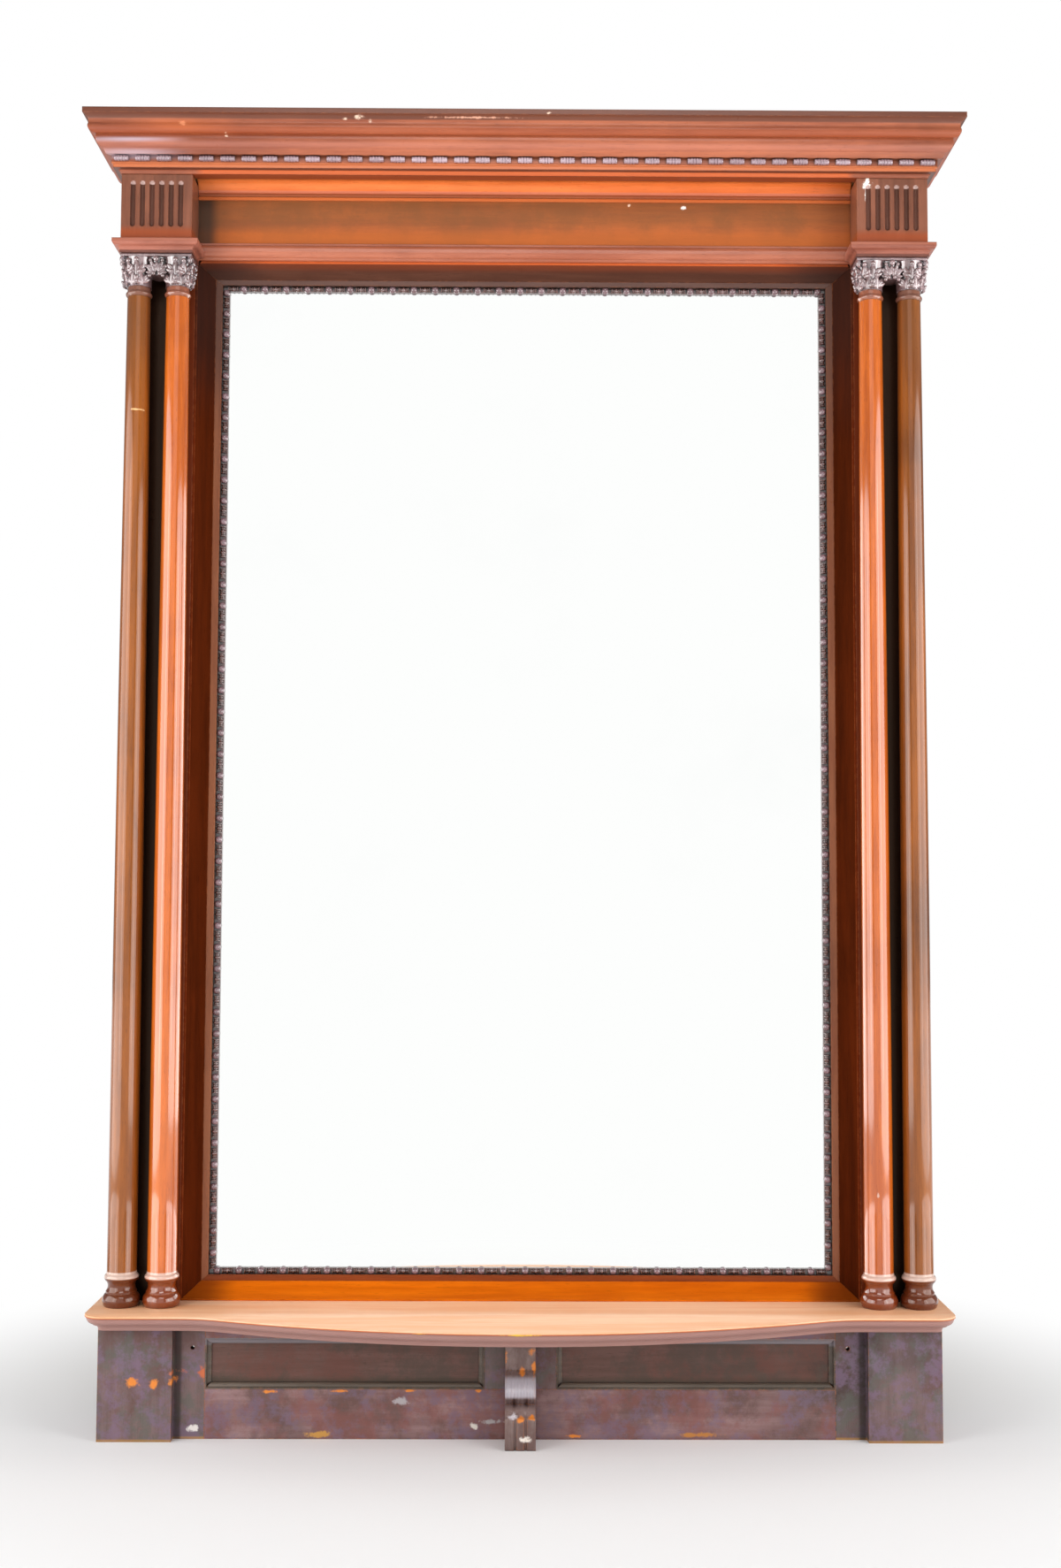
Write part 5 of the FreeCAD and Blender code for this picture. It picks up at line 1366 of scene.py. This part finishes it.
# %% Carve both capitals
for side, word in ((-1, "left"), (1, "right")):
    points, faces = [], []
    outer, inner = column_centres["outer_" + word], column_centres["inner_" + word]
    middle = (outer + inner) / 2
    for centre in (outer, inner):
        leafy_bell(points, faces, centre, 0 if centre.x < middle.x else math.pi)
    carved_arch(points, faces, middle)
    plate_and_scrolls(points, faces, *sorted((side * case_half, side * block_inner)))
    low_box, high_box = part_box("capital_" + word)
    for point in points:
        point.x = min(max(point.x, low_box.x), high_box.x)
        point.y = min(max(point.y, low_box.y), back_limit)
        point.z = min(max(point.z, low_box.z), high_box.z)
    make("carved_capital_" + word, points, faces, "carved", ["capital_" + word], math.radians(50))
    print("carved_capital_" + word, len(faces), "faces")

# %% [markdown]
# ## The bow-fronted shelf
# The shelf's plan is a shallow bow between two hollows, with quarter-round corners, and a moulded
# edge follows its front and ends. A bevelled curve could give such an edge, but would swell at the
# tight corners. Here the plan is sampled as points, and each row of the edge's profile is set in
# from them by its own distance.

# %% Shelf plan
CORNER, BOW_RISE, BOW_REACH, HOLLOW = 0.035, 0.103, 0.560, 0.174
shelf_half = shelf_high.x
straight_depth = shelf_high.y - shelf_low.y - BOW_RISE
centres_apart = (BOW_REACH ** 2 + BOW_RISE ** 2) / (2 * BOW_RISE)
turn_x = BOW_REACH * (1 - HOLLOW / centres_apart)
turn_depth = straight_depth + HOLLOW - (centres_apart - BOW_RISE) * HOLLOW / centres_apart


def plan_point(x, depth):
    """A point of the plan by its distance from the wall."""
    return complex(x, wall_y - depth)


plan = [plan_point(-shelf_half, 0.0), plan_point(-shelf_half, straight_depth - CORNER)]
for end, radius, steps in (
        (plan_point(-shelf_half + CORNER, straight_depth), CORNER, 10),
        (plan_point(-BOW_REACH, straight_depth), None, 1),
        (plan_point(-turn_x, turn_depth), -HOLLOW, 12),
        (plan_point(turn_x, turn_depth), centres_apart - HOLLOW, 60),
        (plan_point(BOW_REACH, straight_depth), -HOLLOW, 12),
        (plan_point(shelf_half - CORNER, straight_depth), None, 1),
        (plan_point(shelf_half, straight_depth - CORNER), CORNER, 10),
        (plan_point(shelf_half, 0.0), None, 1)):
    plan += [end] if radius is None else arc_points(plan[-1], end, radius, steps)
inward = []
for index in range(len(plan)):
    before, after = plan[max(index - 1, 0)], plan[min(index + 1, len(plan) - 1)]
    inward.append((after - before) / abs(after - before) * 1j)
inward[0], inward[-1] = 1, -1
print("the shelf bows %.0f mm, its plan has %d points" % (BOW_RISE * 1000, len(plan)))

# %% Shelf edge and shelf
ROUND_IN, ROUND_TOP, ROUND_REACH, ROUND_DROP = 0.0022, 0.0048, 0.010, 0.0112
COVE_IN, COVE_TOP, COVE_REACH, COVE_DROP = 0.0132, 0.0180, 0.0088, 0.0078
FOOT_IN = 0.022


def quarter_turn(steps, first=0):
    """Angles of the steps to a quarter turn."""
    return [math.pi / 2 * step / steps for step in range(first, steps + 1)]


edge_rows = [(0.0012, 0), (0.0004, 0.0004), (0, 0.0014), (0, 0.0042), (ROUND_IN, 0.0046)]
edge_rows += [(ROUND_IN + ROUND_REACH * (1 - math.cos(angle)),
               ROUND_TOP + ROUND_DROP * math.sin(angle)) for angle in quarter_turn(8)]
edge_rows += [(COVE_IN, 0.0162), (COVE_IN, COVE_TOP)]
edge_rows += [(COVE_IN + COVE_REACH * math.sin(angle),
               COVE_TOP + COVE_DROP * (1 - math.cos(angle))) for angle in quarter_turn(6, 1)]
edge_rows.append((FOOT_IN, shelf_high.z - shelf_low.z))
points, faces, rings = [], [], []
for inset, down in edge_rows:
    spots = [place + way * inset for place, way in zip(plan, inward)]
    rings.append([Vector((spot.real, min(spot.imag, wall_y), shelf_top - down))
                  for spot in spots])
tube(points, faces, rings)
make("moulded_shelf", points, faces, "shelf", ["shelf_board"])
print("moulded_shelf", len(edge_rows), "rows down its edge")

# %% [markdown]
# ## The scroll bracket
# Under the bow stands a sawn scroll with a hollow throat, a rounded belly, two dark notches and a
# grooved foot. Its side outline follows the solid's. Reeds and notches could be cut by booleans,
# but thin cuts on a curved face often fail. A grid laid over the outline takes them as small steps
# of its points in and out.

# %% Bracket outline
THROAT_REACH, THROAT_TOP, THROAT_RISE = 0.033, 0.008, 0.057
BELLY_REACH, BELLY_SWELL, BELLY_TOP, BELLY_RISE = 0.032, 0.029, 0.065, 0.052
TOE_TOP, TOE_RISE = 0.117, 0.018
bracket_low, bracket_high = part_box("centre_bracket")
bracket_half, bracket_back = bracket_high.x, bracket_high.y
bracket_reach = bracket_back - bracket_low.y


def bracket_outline():
    """(how far forward, height) from the shelf down to the floor."""
    top, lip = bracket_high.z, bracket_reach - 0.001
    rows = [(bracket_reach, top), (bracket_reach, top - 0.006), (lip, top - THROAT_TOP)]
    for step in range(1, 13):
        share = step / 12
        back = (bracket_reach - THROAT_REACH) * math.sin(math.pi / 2 * share)
        rows.append((lip - back, top - THROAT_TOP - THROAT_RISE * share ** 1.7))
    for step in range(1, 17):
        share = step / 16
        rows.append((BELLY_REACH + BELLY_SWELL * math.sin(math.pi * share * 0.86),
                     top - BELLY_TOP - BELLY_RISE * share))
    low_reach = rows[-1][0]
    for step in range(1, 7):
        share = step / 6
        rows.append((low_reach + (BRACKET_TOE - low_reach) * share,
                     top - TOE_TOP - TOE_RISE * math.sin(math.pi / 2 * share)))
    return rows + [(BRACKET_TOE, height) for height in (0.05, 0.03, 0.002)] + [(0.062, 0)]


print("bracket stands %.0f mm out and %.0f mm high" % (bracket_reach * 1000, bracket_high.z * 1000))

# %% Bracket with reeds and notches
FOOT_HEAD, REEDS_FOOT, NOTCH_HEAD, REEDS_HEAD = 0.055, 0.07, 0.083, 0.125
REED_HALF, REED_DEEP, EDGE_IN = 0.0026, 0.0013, 0.0016
columns = 81


def gouge(x, middle, half_width, deep):
    """Depth at x of a rounded groove to the left and one to the right."""
    return max(0, 1 - (abs(abs(x) - middle) / half_width) ** 2) * deep


def groove_depth(x, height):
    """How deep the tools went at one point of the front."""
    if height < FOOT_HEAD:
        return gouge(x, 0.0085, 0.0026, 0.0024)
    if not REEDS_FOOT < height < REEDS_HEAD:
        return 0
    reed = (0.5 + 0.5 * math.cos(x / REED_HALF * math.pi)) * REED_DEEP
    return reed + (gouge(x, 0.0095, 0.004, 0.004) if height < NOTCH_HEAD else 0)


outline_rows = bracket_outline()
points = []
for forward_by, height in outline_rows:
    for column in range(columns):
        x = (column / (columns - 1) * 2 - 1) * bracket_half
        round_over = max(0, abs(x) - bracket_half + EDGE_IN)
        y = bracket_back - forward_by + groove_depth(x, height) + round_over
        points.append(Vector((x, y, height)))
faces = grid_faces(len(outline_rows), columns)
close_behind(points, faces, grid_rim(len(outline_rows), columns), bracket_back)
make("scroll_bracket", points, faces, "bracket", ["centre_bracket"])
print("scroll_bracket", len(faces), "faces")

# %% [markdown]
# ## Boards straight from the joiner
# Flat boards need no new mesh. They could be drawn again with rounded edges, but the CAD node
# keeps its exact joints. So each one takes a finish whose grain runs level or upright, and a tiny
# bevel modifier breaks its edges as sandpaper does.

# %% Finishes on the CAD boards
EDGE_BREAK, BREAK_OVER = 0.0007, math.radians(40)
board_finishes = {
    "mirror_glass": "plate",
    "stile_left": "pine_z", "stile_right": "pine_z", "head_rail": "pine_x", "foot_rail": "pine_x",
    "field_board_left": "field", "field_board_right": "field",
    "side_board_left": "mahogany_z", "side_board_right": "mahogany_z",
    "glazing_blocks": "pine_x", "frieze_board": "frieze",
    "base_stile_left": "base_z", "base_stile_right": "base_z",
    "base_head_rail": "base", "base_foot_rail": "base", "base_muntin": "base_z",
    "base_panel_left": "panel", "base_panel_right": "panel", "base_side_left": "base_z",
    "base_side_right": "base_z", "plinth_block_left": "base_z", "plinth_block_right": "base_z",
    "panel_moulding_left": "panel_edge", "panel_moulding_right": "panel_edge",
    "base_corner_blocks": "pine_z", "base_back_rail": "pine_x", "soffit_board": "pine_x",
    "cornice_top_board": "pine_x", "cornice_blocks": "pine_x",
}
for node, finish in board_finishes.items():
    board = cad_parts[node]
    board.data.materials.clear()
    board.data.materials.append(finishes[finish])
    if finish != "plate":
        soften = board.modifiers.new("broken_edges", "BEVEL")
        soften.width = EDGE_BREAK
        soften.segments = 2
        soften.limit_method = "ANGLE"
        soften.angle_limit = BREAK_OVER
        soften.harden_normals = True
print(len(board_finishes), "boards finished")

# %% [markdown]
# ## Back boards and their screws
# Five thin pine boards lie across the back, screwed to the stiles with two slotted screws at each
# end. The heads are countersunk, because the back stands against the wall. A painted dot would do
# from afar, but a real pocket with a head in it takes shadow and light from every side.

# %% Back boards
BACK_BOARDS, BACK_GAP = 5, 0.001
SCREW_INSET, PLATE_HALF, SCREW_SHARES = 0.02, 0.012, (0.22, 0.78)
POCKET_RADIUS, POCKET_DEEP, POCKET_SIDES = 0.0046, 0.0018, 16
HEAD_RADIUS = 0.0042
back_low, back_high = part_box("back_boards")
board_rise = (back_high.z + BACK_GAP - back_low.z) / BACK_BOARDS
screw_xs = (back_low.x + SCREW_INSET, back_high.x - SCREW_INSET)


def round_points(x, y, z, radius, start=0.0, sweep=2 * math.pi, count=POCKET_SIDES, closed=True):
    """Points on an upright circle, or on a part of one, in the plane of the back."""
    share = sweep / (count if closed else count - 1)
    angles = [start + share * step for step in range(count)]
    return [Vector((x + radius * math.cos(angle), y, z + radius * math.sin(angle)))
            for angle in angles]


def pocket(points, faces, corners, x, y, z):
    """A round pocket in a square of the back face, given by its corners from the lower left."""
    rim, bed = len(points), len(points) + POCKET_SIDES
    lower_left, quarter = math.radians(225), POCKET_SIDES // 4
    points += round_points(x, y, z, POCKET_RADIUS, lower_left)
    points += round_points(x, y - POCKET_DEEP, z, HEAD_RADIUS, lower_left)
    for side in range(4):
        arc = [rim + (side * quarter + step) % POCKET_SIDES for step in range(quarter, -1, -1)]
        faces.append((corners[side], corners[(side + 1) % 4], *arc))
    for step in range(POCKET_SIDES):
        following = (step + 1) % POCKET_SIDES
        faces.append((rim + step, rim + following, bed + following, bed + step))
    faces.append(tuple(range(bed, bed + POCKET_SIDES)))


def pocketed_board(points, faces, low, high, centre_xs, centre_zs):
    """A board whose back face has a round pocket at every x with every z."""
    xs = [low.x] + [x + way * PLATE_HALF for x in centre_xs for way in (-1, 1)] + [high.x]
    zs = [low.z] + [z + way * PLATE_HALF for z in centre_zs for way in (-1, 1)] + [high.z]
    first, wide, tall = len(points), len(xs), len(zs)
    points += [Vector((x, high.y, z)) for z in zs for x in xs]
    for row in range(tall - 1):
        for column in range(wide - 1):
            corner = first + row * wide + column
            corners = (corner, corner + 1, corner + wide + 1, corner + wide)
            if row % 2 == 0 or column % 2 == 0:
                faces.append(corners)
            else:
                pocket(points, faces, corners, centre_xs[column // 2], high.y,
                       centre_zs[row // 2])
    front, top_row = len(points), first + (tall - 1) * wide
    points += [Vector((x, low.y, z)) for z in (low.z, high.z) for x in (low.x, high.x)]
    faces += [(front, front + 1, front + 3, front + 2),
              (*range(first, first + wide), front + 1, front),
              (*range(top_row, top_row + wide), front + 3, front + 2),
              (*range(first, top_row + 1, wide), front + 2, front),
              (*range(first + wide - 1, top_row + wide, wide), front + 3, front + 1)]


points, faces, heads = [], [], []
for number in range(BACK_BOARDS):
    foot = back_low.z + board_rise * number
    screw_zs = [foot + board_rise * share for share in SCREW_SHARES]
    pocketed_board(points, faces, Vector((back_low.x, back_low.y, foot)),
                   Vector((back_high.x, back_high.y, foot + board_rise - BACK_GAP)),
                   screw_xs, screw_zs)
    heads += [(x, z) for z in screw_zs for x in screw_xs]
make("screwed_back_boards", points, faces, "pine_x", ["back_boards"])
print(BACK_BOARDS, "boards of %.0f mm with %d pockets"
      % ((board_rise - BACK_GAP) * 1000, len(heads)))

# %% Old iron
iron = Finish("old_screw_iron")
rust = iron.noise(iron.place(), 900.0, 3.0)
rusty = iron.ramp(rust, 0.4, 0.65)
iron.set(Base_Color=iron.blend(rusty, tone(70, 62, 56, 1), tone(112, 74, 50, 1)),
         Metallic=0.7, Roughness=rust * 0.3 + 0.35)
finishes["iron"] = iron.material
SLOTS["iron"] = "carcass_pine"
print("iron goes with the slot of the boards,", SLOTS["iron"])

# %% Back screws
HEAD_SUNK, SLOT_HALF, SLOT_DEEP, SCREW_TWIST = 0.0004, 0.0005, 0.0008, 1.3
WIDE_SHARE, FACE_SHARE, RIM_DROP = 0.97, 0.9, 0.0002
points, faces = [], []
edge_angle = math.asin(SLOT_HALF / HEAD_RADIUS)
bed_y, face_y = back_high.y - POCKET_DEEP, back_high.y - HEAD_SUNK
half_rings = ((face_y - SLOT_DEEP, WIDE_SHARE), (face_y - RIM_DROP, WIDE_SHARE),
              (face_y, FACE_SHARE))
for number, (x, z) in enumerate(heads):
    tube(points, faces, [round_points(x, y, z, HEAD_RADIUS * WIDE_SHARE)
                         for y in (bed_y, face_y - SLOT_DEEP)])
    for half_turn in (0, math.pi):
        start = number * SCREW_TWIST + half_turn + edge_angle
        tube(points, faces, [round_points(x, y, z, HEAD_RADIUS * share, start,
                                          math.pi - 2 * edge_angle, 10, closed=False)
                             for y, share in half_rings])
make("back_screws", points, faces, "iron")
print("back_screws", len(heads), "slotted heads")

# %% [markdown]
# ## Lamps and the room
# The photograph has two tall soft lights, one on each side, which leave two bright lines on every
# column, and a white surround. An environment image could light it in one step, but lamps can be
# moved one by one until their lines fall right. Two narrow strips add the thin sparks on turned
# bases and carving, and a dim white room fills the rest.

# %% Lamps
def lamp(name, place, target, width, height, power):
    """An area lamp, in metres and watts, that looks at a target."""
    data = bpy.data.lights.new(name, "AREA")
    data.shape = "RECTANGLE"
    data.size = width
    data.size_y = height
    data.energy = power
    light = bpy.data.objects.new(name, data)
    light.location = place
    light.rotation_euler = (Vector(target) - Vector(place)).to_track_quat("-Z", "Y").to_euler()
    bpy.context.scene.collection.objects.link(light)


LAMPS = (("soft_left", (-2.45, -1.2, 1.25), (0, 0, 1.2), 3.6, 2.3, 82),
         ("soft_right", (2.45, -1.2, 1.25), (0, 0, 1.2), 3.6, 2.3, 82),
         ("front_fill", (0, -3.6, 4.3), (0, 0, 1.0), 2.4, 0.8, 30),
         ("strip_left", (-2.2, -1.9, 1.3), (0, 0, 1.1), 0.3, 1.9, 5),
         ("strip_right", (2.2, -1.9, 1.3), (0, 0, 1.1), 0.3, 1.9, 5))
for settings in LAMPS:
    lamp(*settings)
print(len(LAMPS), "lamps,", sum(settings[-1] for settings in LAMPS), "W in all")

# %% World
ROOM_LEVEL = 0.22
world = bpy.data.worlds.new("studio")
bpy.context.scene.world = world
world.use_nodes = True
air = Finish("studio", world.node_tree)
background = world.node_tree.nodes["Background"]
seen = air.node("ShaderNodeLightPath", output="Is Camera Ray").math(
    "MAXIMUM", air.node("ShaderNodeLightPath", output="Is Transmission Ray"))
air.put(background.inputs["Strength"], seen * (1 - ROOM_LEVEL) + ROOM_LEVEL)
air.put(background.inputs["Color"], (1, 1, 1, 1))
print("world at %.2f for the wood, 1 for the camera" % ROOM_LEVEL)

# %% [markdown]
# ## Floor and white card
# The mirror stands on a pale floor that holds its shadow, and its glass shows a white room. A
# large backdrop could give both, but its horizon would show. So the floor turns to plain white
# away from the mirror, and a white card stands behind the camera where reflections alone can see
# it.

# %% Floor and card
FLOOR_HALF, FLOOR_NEAR, FLOOR_FAR = 12, 0.72, 1.5
CARD_HALF, CARD_AWAY, CARD_RISE = 2.2, 6, 5
WHITE = {"Color": (1, 1, 1, 1), "Strength": 1.0}


def flat_sheet(name, corners, finish):
    """One flat face in the scene."""
    mesh = bpy.data.meshes.new(name)
    mesh.from_pydata(corners, [], [(0, 1, 2, 3)])
    mesh.materials.append(finish.material)
    sheet = bpy.data.objects.new(name, mesh)
    bpy.context.scene.collection.objects.link(sheet)
    return sheet


ground = Finish("studio_floor")
ground.set(Base_Color=(0.93, 0.93, 0.93, 1), Roughness=0.9)
away = ground.node("ShaderNodeVectorMath", {"operation": "LENGTH"}, {0: ground.place()},
                   output="Value")
faded = ground.node("ShaderNodeMixShader", {}, {
    0: ground.ramp(away, FLOOR_NEAR, FLOOR_FAR), 1: Link(ground, ground.surface.outputs[0]),
    2: ground.node("ShaderNodeEmission", {}, WHITE)})
ground.put(ground.tree.nodes["Material Output"].inputs["Surface"], faded)
floor = flat_sheet("floor", [(-FLOOR_HALF, -FLOOR_HALF, 0), (FLOOR_HALF, -FLOOR_HALF, 0),
                             (FLOOR_HALF, FLOOR_HALF, 0), (-FLOOR_HALF, FLOOR_HALF, 0)], ground)

glow = Finish("white_card")
shown = glow.node("ShaderNodeMixShader", {}, {
    0: glow.node("ShaderNodeLightPath", output="Is Glossy Ray"),
    1: glow.node("ShaderNodeBsdfTransparent"), 2: glow.node("ShaderNodeEmission", {}, WHITE)})
glow.put(glow.tree.nodes["Material Output"].inputs["Surface"], shown)
card = flat_sheet("white_card", [(-CARD_HALF, -CARD_AWAY, 0), (CARD_HALF, -CARD_AWAY, 0),
                                 (CARD_HALF, -CARD_AWAY, CARD_RISE),
                                 (-CARD_HALF, -CARD_AWAY, CARD_RISE)], glow)
print("card %.1f m wide, %.0f m in front" % (CARD_HALF * 2, CARD_AWAY))

# %% [markdown]
# ## Camera
# The photograph was taken from a little below half height, nearly straight on. A camera could be
# pushed about until it looks right, but its place, turn and focal length were fitted to known
# corners of the mirror instead. Standard colour keeps the whites white, where a film look would
# grey them.

# %% Camera
PHOTO_TALL_PX, FOCAL_PX, SENSOR = 1773, 2000, 36
CAMERA_PLACE, CAMERA_TURN = (-0.004, -3.007, 0.907), (-0.33, 3.64, -0.2)
camera = bpy.data.objects.new("camera", bpy.data.cameras.new("camera"))
bpy.context.scene.collection.objects.link(camera)
bpy.context.scene.camera = camera
camera.data.sensor_width = SENSOR
camera.data.lens = FOCAL_PX / PHOTO_TALL_PX * SENSOR
camera.location = CAMERA_PLACE
yaw, pitch, roll = (math.radians(v) for v in CAMERA_TURN)
turn = (Matrix.Rotation(yaw, 3, "Z") @ Matrix.Rotation(pitch, 3, "X")
        @ Matrix.Rotation(roll, 3, "Y"))
camera.rotation_euler = (turn @ Matrix.Rotation(math.radians(90), 3, "X")).to_euler()
bpy.context.scene.view_settings.view_transform = "Standard"
print("camera %.1f mm lens, %.2f m in front" % (camera.data.lens, -camera.location.y))
